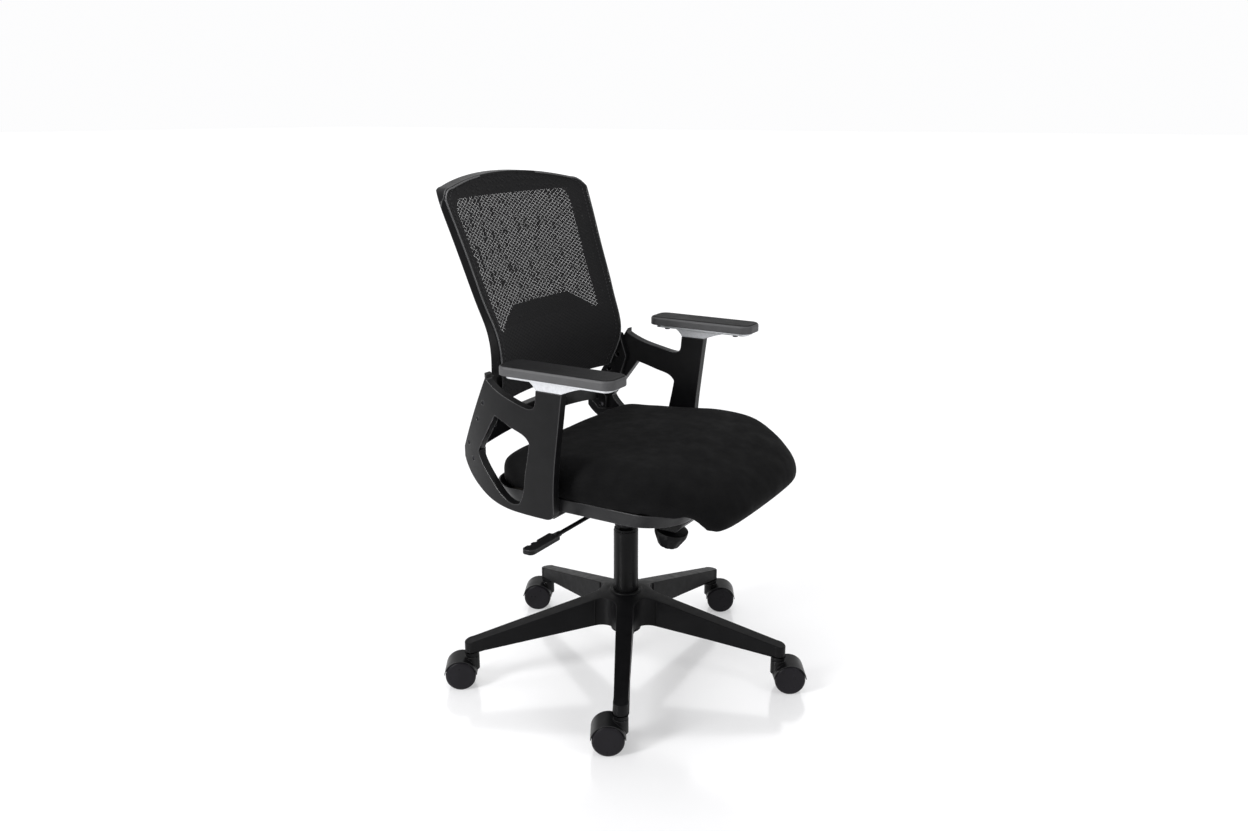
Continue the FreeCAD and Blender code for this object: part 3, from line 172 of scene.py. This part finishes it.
def break_edges(shape, width, steps=2, least=35):
    """Rounds every edge sharper than the least angle, and puts the new faces on the second material, where a
    painted edge highlight can go.
    """
    sharp = [e for e in shape.edges if e.is_manifold and e.calc_face_angle() > math.radians(least)]
    made = bmesh.ops.bevel(shape, geom=sharp, offset=width, offset_type="OFFSET", segments=steps,
                           profile=0.5, affect="EDGES", clamp_overlap=False, material=-1)
    for face in made["faces"]:
        face.material_index = 1


def piece_of(shape, name, material, smooth=40, weighted=True):
    """Turns a bmesh into a shown piece at the origin, smooth except across its hard edges."""
    mesh = bpy.data.meshes.new(name)
    shape.to_mesh(mesh)
    shape.free()
    mesh.shade_smooth()
    mesh.set_sharp_from_angle(angle=math.radians(smooth))
    piece = bpy.data.objects.new(name, mesh)
    bpy.context.scene.collection.objects.link(piece)
    mesh.materials.append(material)
    if weighted:
        piece.modifiers.new("even_shading", "WEIGHTED_NORMAL").keep_sharp = True
    return piece


def stands_for(piece, *nodes):
    """The piece rides on the body of the CAD nodes that it stands for, and those nodes are hidden."""
    body, slot = node_facts(nodes[0])
    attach(piece, body)
    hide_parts(*nodes)
    return piece


def skinned(node, material, width=0.001, steps=2, least=35, edge_highlight=None):
    """A CAD node's own shape with its edges broken, and painted lighter and glossier along them as a
    highlight where an edge material is given.
    """
    shape = joined(node)
    break_edges(shape, width, steps, least)
    piece = piece_of(shape, node + "_skin", material)
    piece.data.materials.append(edge_highlight or material)
    return stands_for(piece, node)


def dress(node, material):
    """Gives a CAD node that keeps its own mesh a better finish."""
    shown = frame["nodes"][node]
    shown.data.materials.clear()
    shown.data.materials.append(material)


skinned("base_star", nylon, BASE_EDGE, 3)

# ---------------------------------------------------------------------------
# Twin-wheel casters.
# Each has a nylon hood moulded as a barrel over both wheels, a grip-ring stem pressed into
# the leg, and two nylon wheels snapped on a steel axle either side of the hood's web.

WHEEL_EDGE = 0.0014
CASTERS = ("front", "right", "back_right", "back_left", "left")

hood_nylon = moulded("hood_nylon", (0.0045, 0.0045, 0.0048), (0.3, 0.4), specular=0.14)
wheel_face = moulded("wheel_face_nylon", (0.0085, 0.0078, 0.0098), (0.26, 0.36), 900, 0.00003, 0.14)


def metal(name, colour, rough, brush=(1, 1, 60), depth=0.00002):
    """Metal with fine brushed or ground lines along one axis."""
    material, nodes, surface, coords = shader(name, metallic=1.0)
    lines = noise(nodes, coords, 220, 3, brush)
    link(nodes, tint(nodes, lines, [c * 0.86 for c in colour], colour), surface.inputs["Base Color"])
    link(nodes, spread(nodes, noise(nodes, coords, 90, 3), *rough), surface.inputs["Roughness"])
    bump(nodes, surface, [(lines, 0.4, depth)])
    return material


zinc = metal("zinc_plated_steel", (0.60, 0.60, 0.61), (0.26, 0.36), (1, 1, 8))
black_oxide = metal("black_oxide_steel", (0.035, 0.035, 0.038), (0.34, 0.46), (1, 1, 8))

for place in CASTERS:
    skinned(f"caster_{place}_hood", hood_nylon, 0.0004, 2, 50, edge_highlight=edge_highlight_nylon)
    for side in "ab":
        skinned(f"caster_{place}_wheel_{side}", wheel_face, WHEEL_EDGE, 3)
    dress(f"caster_{place}_stem", zinc)
    dress(f"caster_{place}_axle", zinc)

# ---------------------------------------------------------------------------
# Gas column.
# A 50 mm steel tube in black enamel stands in the hub. The gas cylinder slides in its
# plastic bushing on a chromed rod clipped to the tube's foot, over a small thrust bearing.

enamel = moulded("column_enamel", (0.0042, 0.0042, 0.0045), (0.27, 0.34), 700, 0.00003, 0.1)
black_paint = moulded("black_painted_steel", (0.0042, 0.0042, 0.0045), (0.34, 0.44), 600, 0.00004)
chrome = metal("ground_chromed_steel", (0.70, 0.70, 0.71), (0.12, 0.2), (1, 1, 40), 0.00001)
bearing_steel = metal("bearing_steel", (0.50, 0.50, 0.51), (0.2, 0.3), (8, 8, 1))

skinned("column_tube", enamel, 0.0008)
skinned("gas_cylinder", black_paint, 0.0006)
dress("column_bushing", nylon)
dress("piston_rod", chrome)
dress("rod_clip", zinc)
dress("thrust_bearing", bearing_steel)
dress("valve_pin", zinc)

# ---------------------------------------------------------------------------
# Tilt mechanism.
# A pressed and painted steel housing clamps on the column's taper. The seat plate turns on
# a cross shaft, held down by a bolt, a coil spring and the moulded tension knob below.

KNOB_RAD = 0.0335
KNOB_LEAN = math.radians(12)
KNOB_FOOT_RAD = 0.019
KNOB_LONG = 0.036
KNOB_BELOW_TOP = 0.012
KNOB_GRIPS = 10
GRIP_DEPTH = 0.07

spring_steel = metal("oiled_spring_steel", (0.16, 0.16, 0.165), (0.3, 0.45), (3, 3, 3))

skinned("tilt_housing", black_paint, 0.0012)
skinned("tilt_plate", black_paint, 0.0008)


def knob():
    """Tapered knob with shallow grips, spun about its leaning bolt."""
    low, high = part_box("tension_knob")
    top = Vector(((low[0] + high[0]) / 2, low[1] + KNOB_RAD / math.cos(KNOB_LEAN),
                  high[2] - KNOB_BELOW_TOP))
    shape = bmesh.new()
    profile = [(0.004, -KNOB_LONG), (KNOB_FOOT_RAD, -KNOB_LONG),
               (KNOB_FOOT_RAD + 0.0025, 0.0025 - KNOB_LONG), (0.0325, -0.012), (KNOB_RAD, -0.008),
               (KNOB_RAD, -0.001), (0.031, 0.0), (0.012, 0.0), (0.012, 0.008), (0.004, 0.008)]
    spots = [shape.verts.new((r, 0, z)) for r, z in profile]
    edges = [shape.edges.new(pair) for pair in zip(spots, spots[1:])]
    bmesh.ops.spin(shape, geom=spots + edges, cent=(0, 0, 0), axis=(0, 0, 1), angle=math.tau,
                   steps=KNOB_GRIPS * 4, use_merge=True)
    bmesh.ops.remove_doubles(shape, verts=shape.verts, dist=0.00001)
    bmesh.ops.holes_fill(shape, edges=[e for e in shape.edges if e.is_boundary])
    bmesh.ops.recalc_face_normals(shape, faces=shape.faces)
    for v in shape.verts:
        turn = math.atan2(v.co.y, v.co.x) * KNOB_GRIPS
        if -0.038 < v.co.z < -0.002:
            dip = 1 - GRIP_DEPTH * max(0.0, math.cos(turn))
            v.co.x *= dip
            v.co.y *= dip
    bmesh.ops.transform(shape, matrix=Matrix.Translation(top) @ Matrix.Rotation(KNOB_LEAN, 4, "X"),
                        verts=shape.verts)
    return stands_for(piece_of(shape, "tension_knob_turned", nylon, 50), "tension_knob")


knob()
dress("tilt_shaft", zinc)
dress("tension_bolt", zinc)
dress("tilt_spring", spring_steel)

# ---------------------------------------------------------------------------
# Height lever.
# A straight steel rod in a small pivot block under the plate, with a moulded paddle
# pushed on its end. Lifting it presses the column's valve.

skinned("lever_block", nylon, 0.0006)
skinned("lever_paddle", hood_nylon, 0.0011, 3, edge_highlight=edge_highlight_nylon)
dress("lever_rod", black_paint)

# ---------------------------------------------------------------------------
# Seat pan and board.
# The pan is a shallow nylon moulding whose rim shows as a satin band under the cushion.
# The black-stained plywood board inside it carries the foam and takes the bolts.

pan_nylon = moulded("pan_nylon", (0.012, 0.012, 0.0128), (0.3, 0.42), 1300, 0.00005, 0.16)


def plywood():
    """Plywood stained black, so that its edge does not show under the cover."""
    material, nodes, surface, coords = shader("black_stained_plywood", specular=0.2)
    rings = noise(nodes, coords, 14, 4, (1, 9, 1))
    stain = tint(nodes, rings, (0.010, 0.009, 0.008), (0.022, 0.018, 0.015))
    link(nodes, stain, surface.inputs["Base Color"])
    link(nodes, spread(nodes, rings, 0.55, 0.7), surface.inputs["Roughness"])
    bump(nodes, surface, [(rings, 0.3, 0.0001)])
    return material


skinned("seat_pan", pan_nylon, 0.0011, 3, edge_highlight=edge_highlight_nylon)
dress("seat_board", plywood())
for screws in ("seat_screws", "arm_foot_screws", "arm_screws", "back_screws"):
    dress(screws, black_oxide)

# ---------------------------------------------------------------------------
# Seat cushion.
# Moulded foam with a waterfall front, wrapped in a fine black woven cloth that is pulled
# under the board and stapled, so that it swells between its corners with no seam on top.

THREAD_PITCH = 0.0016
CUSHION_GRID = 0.006
CUSHION_RISE = 0.007
CUSHION_ROUNDING = 18
CUSHION_EVENING = 16
FOOT_TUCK = 0.965
NOSE_LINE = -0.235
NOSE_DEPTH = 0.13
NOSE_CREST = 0.478
CUSHION_BELLY = 0.024
BELLY_OUT = 0.7
BELLY_DOWN = 0.05
CROWN_FALL = 0.009
COVER_PRESSURE = 4
COVER_TENSION = 60
COVER_BENDING = 12


def woven(name, dark, light, pitch, depth):
    """Fine weave: threads crossing along all three axes, in cloth that barely shines."""
    material, nodes, surface, coords = shader(name, specular=0.09)
    weave = None
    for turn in ((0, 0, 0), (0, 0, math.pi / 2), (0, math.pi / 2, 0)):
        mapping = add(nodes, "ShaderNodeMapping", Rotation=turn)
        link(nodes, coords, mapping.inputs["Vector"])
        wave = add(nodes, "ShaderNodeTexWave", Scale=math.tau / 20 / pitch, Distortion=0.5, Detail=1.0)
        link(nodes, mapping.outputs["Vector"], wave.inputs["Vector"])
        thread = wave.outputs["Fac"]
        weave = thread if weave is None else combine(nodes, "ADD", weave, thread)
    level = add(nodes, "ShaderNodeMapRange", From_Min=0.5, From_Max=2.5)
    link(nodes, weave, level.inputs["Value"])
    cloud = noise(nodes, coords, 34, 4)
    fleck = noise(nodes, coords, 1400, 2)
    link(nodes, tint(nodes, fleck, dark, light), surface.inputs["Base Color"])
    link(nodes, spread(nodes, cloud, 0.72, 0.9), surface.inputs["Roughness"])
    bump(nodes, surface, [(level.outputs["Result"], 0.5, depth)])
    return material


cloth = woven("black_seat_cloth", (0.0016, 0.0016, 0.0017), (0.0058, 0.0058, 0.0062), THREAD_PITCH, 0.00006)


def remeshed(shape, name, grid):
    """An even quad mesh of a closed shape."""
    mesh = bpy.data.meshes.new(name)
    shape.to_mesh(mesh)
    shape.free()
    piece = bpy.data.objects.new(name, mesh)
    bpy.context.scene.collection.objects.link(piece)
    remesh = piece.modifiers.new("even", "REMESH")
    remesh.mode = "VOXEL"
    remesh.voxel_size = grid
    settled(piece)
    return piece


def settled(piece):
    """Applies the piece's modifiers as they stand."""
    made = bpy.data.meshes.new_from_object(piece.evaluated_get(bpy.context.evaluated_depsgraph_get()))
    piece.modifiers.clear()
    piece.data = made


def smoothed(piece, passes, foot):
    """Rounds the cover off, all but its foot, where the cloth is pulled tight under the board."""
    shape = bmesh.new()
    shape.from_mesh(piece.data)
    free = [v for v in shape.verts if v.co.z > foot or v.co.y < NOSE_LINE]
    for _ in range(passes):
        bmesh.ops.smooth_vert(shape, verts=free, factor=0.5, use_axis_x=True, use_axis_y=True,
                              use_axis_z=True)
    shape.to_mesh(piece.data)
    shape.free()


def tucked(piece, foot):
    """Draws the cover's foot in to the pan's rim."""
    for v in piece.data.vertices:
        if v.co.z < foot and v.co.y > NOSE_LINE:
            v.co.x *= FOOT_TUCK
            v.co.y *= FOOT_TUCK


def swell(piece, rise, held_below, frames=20):
    """Blows the cover out like foam under cloth, no further than the rise."""
    start = [v.co.copy() for v in piece.data.vertices]
    held = piece.vertex_groups.new(name="held")
    held.add([i for i, p in enumerate(start) if p.z < held_below], 1.0, "REPLACE")
    cover = piece.modifiers.new("cover", "CLOTH")
    cover.settings.use_pressure = True
    cover.settings.uniform_pressure_force = COVER_PRESSURE
    cover.settings.effector_weights.gravity = 0
    cover.settings.tension_stiffness = COVER_TENSION
    cover.settings.bending_stiffness = COVER_BENDING
    cover.settings.vertex_group_mass = "held"
    cover.point_cache.frame_end = frames
    scene = bpy.context.scene
    for number in range(1, frames + 1):
        scene.frame_set(number)
    moved = piece.evaluated_get(bpy.context.evaluated_depsgraph_get()).data
    ends = [v.co.copy() for v in moved.vertices]
    piece.modifiers.clear()
    for v, a, b in zip(piece.data.vertices, start, ends):
        step = b - a
        v.co = a + step * min(1.0, rise / max(step.length, 1e-9))
    piece.vertex_groups.clear()
    scene.frame_set(1)


def bellied(piece, depth, fall):
    """Fills the nose out where the foam rolls over the board's front, and eases its crown down."""
    low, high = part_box("seat_cushion")
    for v in piece.data.vertices:
        along = max(0.0, (v.co.y - low[1]) / NOSE_DEPTH)
        if along > 1:
            continue
        up = (v.co.z - low[2]) / (NOSE_CREST - low[2])
        if up > 1:
            v.co.z -= fall * (1 - along) ** 2 * min(1.0, (up - 1) * 3)
        swelling = depth * math.sin(math.pi * min(1.0, 0.25 + 0.75 * max(0.0, up))) * (1 - along ** 2)
        away = Vector((v.co.x, v.co.y - NOSE_LINE / 2, 0)).normalized()
        v.co += away * swelling * BELLY_OUT - Vector((0, 0, swelling * BELLY_DOWN))


def finish_soft(piece, material):
    """Gives the swollen cover its cloth."""
    piece.data.shade_smooth()
    piece.data.materials.clear()
    piece.data.materials.append(material)
    fine = piece.modifiers.new("fine", "SUBSURF")
    fine.levels = fine.render_levels = 1


cushion = remeshed(joined("seat_cushion"), "seat_cushion_cover", CUSHION_GRID)
cushion_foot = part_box("seat_board")[1][2] + 0.005
tucked(cushion, cushion_foot)
smoothed(cushion, CUSHION_ROUNDING, cushion_foot)
swell(cushion, CUSHION_RISE, cushion_foot)
smoothed(cushion, CUSHION_EVENING, cushion_foot)
bellied(cushion, CUSHION_BELLY, CROWN_FALL)
smoothed(cushion, CUSHION_EVENING, cushion_foot)
finish_soft(cushion, cloth)
stands_for(cushion, "seat_cushion")

# ---------------------------------------------------------------------------
# Arms.
# Each arm is one glass-filled nylon moulding: a post and two straps that wrap round to the
# back. A satin die-cast bracket on its neck carries a soft-touch polyurethane pad.

ARM_EDGE = 0.0013
# Pad faces that stand steeper than this take the painted side highlight.
PAINTED_SIDE_SLOPE = 0.8

arm_nylon = moulded("arm_nylon", (0.0046, 0.0046, 0.005), (0.28, 0.38), 1700, 0.00003, 0.14)
die_cast = metal("satin_die_cast", (0.60, 0.61, 0.63), (0.34, 0.44), (6, 1, 1))


def soft_skin(name, dark, light, specular):
    """Soft-touch skin: a fine pebble grain over slightly patchy gloss."""
    material, nodes, surface, coords = shader(name, specular=specular)
    pebble = add(nodes, "ShaderNodeTexVoronoi", Scale=900)
    link(nodes, coords, pebble.inputs["Vector"])
    cloud = noise(nodes, coords, 40, 3)
    link(nodes, tint(nodes, cloud, dark, light), surface.inputs["Base Color"])
    link(nodes, spread(nodes, cloud, 0.46, 0.58), surface.inputs["Roughness"])
    bump(nodes, surface, [(noise(nodes, coords, 8, 1), 0.2, 0.001),
                          (pebble.outputs["Distance"], 0.5, 0.00015)])
    return material


pad_skin = soft_skin("pad_top_skin", (0.005, 0.005, 0.0054), (0.009, 0.009, 0.0096), 0.1)
# The pad's sides get a skin about ten times lighter than its top: a painted highlight where the light falls
# on them.
pad_side_highlight = soft_skin("pad_side_painted_highlight", (0.05, 0.05, 0.052), (0.068, 0.068, 0.071), 0.5)

for side in ("right", "left"):
    skinned(f"arm_frame_{side}", arm_nylon, ARM_EDGE, 3, edge_highlight=edge_highlight_nylon)
    skinned(f"arm_bracket_{side}", die_cast, 0.0010)
    pad = skinned(f"arm_pad_{side}", pad_skin, 0.0018, 4, 30)
    pad.data.materials[1] = pad_side_highlight
    # Steep faces take the lighter side skin, the painted highlight; flatter faces keep the top skin.
    for face in pad.data.polygons:
        face.material_index = int(abs(face.normal.z) < PAINTED_SIDE_SLOPE)

# ---------------------------------------------------------------------------
# Back frame and its parts.
# A bowed nylon hoop with a groove round its edge, the carrier that ties it to the arms,
# and the lumbar plate that slides up and down on lugs behind the knit.

frame_nylon = moulded("back_frame_nylon", (0.0048, 0.0048, 0.0052), (0.3, 0.4), 1500, 0.00005)

skinned("back_frame", frame_nylon, 0.0013, 3, edge_highlight=edge_highlight_nylon)
skinned("back_carrier", arm_nylon, 0.0012, edge_highlight=edge_highlight_nylon)
skinned("lumbar_support", nylon, 0.0010)

# ---------------------------------------------------------------------------
# Back knit.
# A stretched charcoal spacer knit: wide diamond stitches in staggered rows, with fine slits
# between them that let light through, closed at the foot. Its hem is sewn round a thin cord.

STITCH_W = 0.0135
STITCH_H = 0.0075
SLIT = 0.00024
KNIT_T = 0.0003
DOME = 0.0003
KNIT_EDGE = 0.0011
CLOSED_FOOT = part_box("lumbar_support")[1][2] - 0.035
HEM_CORD_R = 0.0017
HEM_STEPS = 220
HEM_ENDS = 0.004
SEAM_IN = 0.014
SEAM_PITCH = 0.0075
STITCH_WIDE = 0.0008
STITCH_PROUD = 0.0006
HALVINGS = 14
OUTLINE_STEP = 0.004


def knit_yarn():
    """Dull textured yarn with a little fibre fuzz."""
    material, nodes, surface, coords = shader("charcoal_knit_yarn", specular=0.08, sheen=0.05)
    fibre = noise(nodes, coords, 900, 3, (1, 1, 3))
    colour = tint(nodes, fibre, (0.011, 0.011, 0.0115), (0.021, 0.021, 0.022))
    link(nodes, colour, surface.inputs["Base Color"])
    link(nodes, spread(nodes, fibre, 0.7, 0.9), surface.inputs["Roughness"])
    bump(nodes, surface, [(fibre, 0.6, 0.0002)])
    return material


def knit_sheet(low, high, surface_of):
    """Staggered stitches cut from one flat grid to the back's outline, and slit apart along their sides."""
    width, height = high[0] - low[0], high[2] - low[2]
    across = math.ceil(width / STITCH_W)
    up = math.ceil(height / STITCH_H)
    count = across + up + 2
    shape = bmesh.new()
    bmesh.ops.create_grid(shape, x_segments=count, y_segments=count, size=count / 2)
    turn = Matrix.Rotation(math.pi / 4, 4, "Z")
    bmesh.ops.transform(shape, matrix=turn, verts=shape.verts)
    half = math.sqrt(2) / 2
    bmesh.ops.scale(shape, vec=(STITCH_W / 2 / half, STITCH_H / 2 / half, 1), verts=shape.verts)
    middle_x, middle_z = (low[0] + high[0]) / 2, (low[2] + high[2]) / 2
    out = [f for f in shape.faces
           if abs(f.calc_center_median().x) > width / 2 + STITCH_W
           or abs(f.calc_center_median().y) > height / 2 + STITCH_H]
    bmesh.ops.delete(shape, geom=out, context="FACES")
    out = []
    for f in shape.faces:
        c = f.calc_center_median()
        if surface_of(c.x + middle_x, c.y + middle_z) is None:
            out.append(f)
    bmesh.ops.delete(shape, geom=out, context="FACES")
    inner = [e for e in shape.edges if e.is_manifold
             and (e.verts[0].co.y + e.verts[1].co.y) / 2 + middle_z > CLOSED_FOOT]
    bmesh.ops.bevel(shape, geom=inner, offset=SLIT / 2, offset_type="OFFSET", segments=1,
                    profile=0.5, affect="EDGES", clamp_overlap=False, material=-1)
    slits = [f for f in shape.faces if f.calc_area() < STITCH_W * STITCH_H * 0.15 and len(f.verts) == 4
             and max(e.calc_length() for e in f.edges) > STITCH_W * 0.3]
    bmesh.ops.delete(shape, geom=slits, context="FACES")
    return shape


back_side = BVHTree.FromObject(frame["nodes"]["back_mesh"], bpy.context.evaluated_depsgraph_get())


def knit_depth(x, z):
    """Where the knit's front lies at a place on the back, or None outside its outline."""
    hit = back_side.ray_cast(Vector((x, -1.0, z)), Vector((0, 1, 0)))[0]
    return None if hit is None else hit.y


yarn = knit_yarn()
low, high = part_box("back_mesh")
shape = knit_sheet(low, high, knit_depth)
middle_x, middle_z = (low[0] + high[0]) / 2, (low[2] + high[2]) / 2
last = high[1]
for v in shape.verts:
    x, z = v.co.x + middle_x, v.co.y + middle_z
    depth = knit_depth(x, z)
    pull = 1.0
    while depth is None and pull > 0.9:
        pull -= OUTLINE_STEP
        x, z = v.co.x * pull + middle_x, v.co.y * pull + middle_z
        depth = knit_depth(x, z)
    v.co = Vector((x, last if depth is None else depth, z))
stitches = [f for f in shape.faces if f.calc_area() > STITCH_W * STITCH_H * 0.2]
bmesh.ops.recalc_face_normals(shape, faces=shape.faces)
if sum(f.normal.y for f in shape.faces) > 0:
    bmesh.ops.reverse_faces(shape, faces=shape.faces)
bmesh.ops.inset_individual(shape, faces=stitches, thickness=KNIT_EDGE, depth=DOME)
knit = piece_of(shape, "back_knit_sheet", yarn, weighted=False)
wall = knit.modifiers.new("thick", "SOLIDIFY")
wall.thickness = KNIT_T
wall.offset = -1
stands_for(knit, "back_mesh")


def hem_line(inset):
    """Places up each side of the knit's outline, set in from it: right side, then left."""
    sides = {-1: [], 1: []}
    for side, places in sides.items():
        for step in range(HEM_STEPS + 1):
            z = low[2] + HEM_ENDS + (high[2] - low[2] - 2 * HEM_ENDS - inset) * step / HEM_STEPS
            near, far = middle_x, middle_x + side * (high[0] - low[0])
            for _ in range(HALVINGS):
                probe = (near + far) / 2
                if knit_depth(probe, z) is None:
                    far = probe
                else:
                    near = probe
            x = near - side * inset
            if knit_depth(x, z) is not None and (x - middle_x) * side > 0:
                places.append(Vector((x, knit_depth(x, z), z)))
    return sides[-1], sides[1]


def cord(name, places, radius):
    """A round cord through a row of places."""
    curve = bpy.data.curves.new(name, "CURVE")
    curve.dimensions = "3D"
    curve.bevel_depth = radius
    curve.bevel_resolution = 3
    line = curve.splines.new("POLY")
    line.points.add(len(places) - 1)
    for point, place in zip(line.points, places):
        point.co = (*place, 1)
    holder = bpy.data.objects.new(name, curve)
    mesh = bpy.data.meshes.new_from_object(holder)
    shape = bmesh.new()
    shape.from_mesh(mesh)
    bpy.data.objects.remove(holder)
    return shape


def seam(places):
    """Short stitches standing a little proud along a line."""
    shape = bmesh.new()
    gone = 0.0
    for a, b in zip(places, places[1:]):
        gone += (b - a).length
        if gone < SEAM_PITCH:
            continue
        gone = 0.0
        made = bmesh.ops.create_uvsphere(shape, u_segments=8, v_segments=5, radius=1)
        turn = (b - a).to_track_quat("Z", "Y").to_matrix().to_4x4()
        size = Matrix.Diagonal((STITCH_WIDE, STITCH_PROUD, SEAM_PITCH * 0.32, 1))
        spot = Matrix.Translation(a - Vector((0, STITCH_PROUD, 0)))
        bmesh.ops.transform(shape, matrix=spot @ turn @ size, verts=made["verts"])
    return shape


thread = moulded("hem_thread", (0.035, 0.035, 0.037), (0.5, 0.6), 2400, 0.00003, 0.2)
# The hem cord is real, but its lighter colour is a painted highlight along the back's edge.
piping_highlight = moulded("hem_piping_painted_highlight", (0.03, 0.03, 0.032), (0.2, 0.26), 1200, 0.00003, 0.7)
knit_body, knit_slot = node_facts("back_mesh")
for count, places in enumerate(hem_line(0.0)):
    edge = piece_of(cord(f"hem_cord_{count}", places, HEM_CORD_R), f"hem_cord_{count}", piping_highlight)
    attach(edge, knit_body)
for count, places in enumerate(hem_line(SEAM_IN)):
    row = piece_of(seam(places), f"hem_seam_{count}", thread)
    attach(row, knit_body)

# ---------------------------------------------------------------------------
# Floor, light and camera.
# A pale polished sweep under a tall strip lamp on the sitter's right, a weaker one in front and
# a soft box overhead, in a white surround.

CAMERA_AT = (-1.721, -1.027, 1.108)
CAMERA_PITCH = 15.95
CAMERA_TURN = -59.06
CAMERA_LENS = 30.66
FLOOR_SIZE = 60.0
FLOOR_POLISH = 2.8
GLOW_NEAR = 0.38
GLOW_FAR = 0.58
GLOW_START = 0.5
GLOW_END = 3.5
SURROUND = 0.42
BACKGROUND = (0.98, 0.98, 0.985)
GLOSSY_SHARE = 0.55


def paper():
    """White floor that keeps the shadow under a polished coat, lit up where it is seen."""
    material, nodes, surface, coords = shader("studio_floor", specular=0.5, coat=1.0, coat_roughness=0.14)
    surface.inputs["Coat IOR"].default_value = FLOOR_POLISH
    link(nodes, tint(nodes, noise(nodes, coords, 3, 2), (0.80, 0.80, 0.81), (0.82, 0.82, 0.83)),
         surface.inputs["Base Color"])
    link(nodes, spread(nodes, noise(nodes, coords, 5, 2), 0.5, 0.6), surface.inputs["Roughness"])
    glow = add(nodes, "ShaderNodeEmission", Color=(*BACKGROUND, 1))
    rays = nodes.new("ShaderNodeLightPath")
    seen = combine(nodes, "MAXIMUM", rays.outputs["Is Camera Ray"], rays.outputs["Is Glossy Ray"])
    away = nodes.new("ShaderNodeVectorMath")
    away.operation = "LENGTH"
    link(nodes, coords, away.inputs[0])
    far = add(nodes, "ShaderNodeMapRange", From_Min=GLOW_START, From_Max=GLOW_END,
              To_Min=GLOW_NEAR, To_Max=GLOW_FAR)
    link(nodes, away.outputs["Value"], far.inputs["Value"])
    link(nodes, combine(nodes, "MULTIPLY", seen, far.outputs["Result"]), glow.inputs["Strength"])
    both = nodes.new("ShaderNodeAddShader")
    link(nodes, surface.outputs[0], both.inputs[0])
    link(nodes, glow.outputs[0], both.inputs[1])
    link(nodes, both.outputs[0], nodes["Material Output"].inputs["Surface"])
    return material


shape = bmesh.new()
bmesh.ops.create_grid(shape, x_segments=8, y_segments=8, size=FLOOR_SIZE)
floor = piece_of(shape, "studio_floor", paper(), weighted=False)


def soft_box(name, place, aim, size, power):
    """A large flat lamp turned to face a point."""
    lamp = bpy.data.lights.new(name, "AREA")
    lamp.shape = "RECTANGLE"
    lamp.size, lamp.size_y = size
    lamp.energy = power
    holder = bpy.data.objects.new(name, lamp)
    holder.location = place
    holder.rotation_euler = (Vector(aim) - Vector(place)).to_track_quat("-Z", "Y").to_euler()
    bpy.context.scene.collection.objects.link(holder)


soft_box("key_strip", (-2.3, 0.9, 1.7), (0, 0, 0.6), (0.5, 1.7), 52)
soft_box("front_strip", (-0.3, -2.6, 1.9), (0, 0, 0.5), (0.5, 1.5), 14)
soft_box("top_box", (0.2, 0.3, 2.9), (0, 0, 0.5), (1.4, 1.4), 22)

world = bpy.data.worlds.new("studio")
world.use_nodes = True
nodes = world.node_tree.nodes
sky = nodes["Background"]
rays = nodes.new("ShaderNodeLightPath")
mirrored = combine(nodes, "MULTIPLY", rays.outputs["Is Glossy Ray"], GLOSSY_SHARE)
direct = combine(nodes, "MAXIMUM", rays.outputs["Is Camera Ray"], rays.outputs["Is Transmission Ray"])
level = add(nodes, "ShaderNodeMapRange", To_Min=SURROUND, To_Max=1.0)
link(nodes, combine(nodes, "MAXIMUM", direct, mirrored), level.inputs["Value"])
link(nodes, level.outputs["Result"], sky.inputs["Strength"])
sky.inputs["Color"].default_value = (*BACKGROUND, 1)
bpy.context.scene.world = world

lens = bpy.data.cameras.new("camera")
lens.lens = CAMERA_LENS
lens.sensor_width = 36
camera = bpy.data.objects.new("camera", lens)
camera.location = CAMERA_AT
camera.rotation_euler = (math.radians(90 - CAMERA_PITCH), 0, math.radians(CAMERA_TURN))
bpy.context.scene.collection.objects.link(camera)
bpy.context.scene.camera = camera
bpy.context.scene.view_settings.view_transform = "Standard"
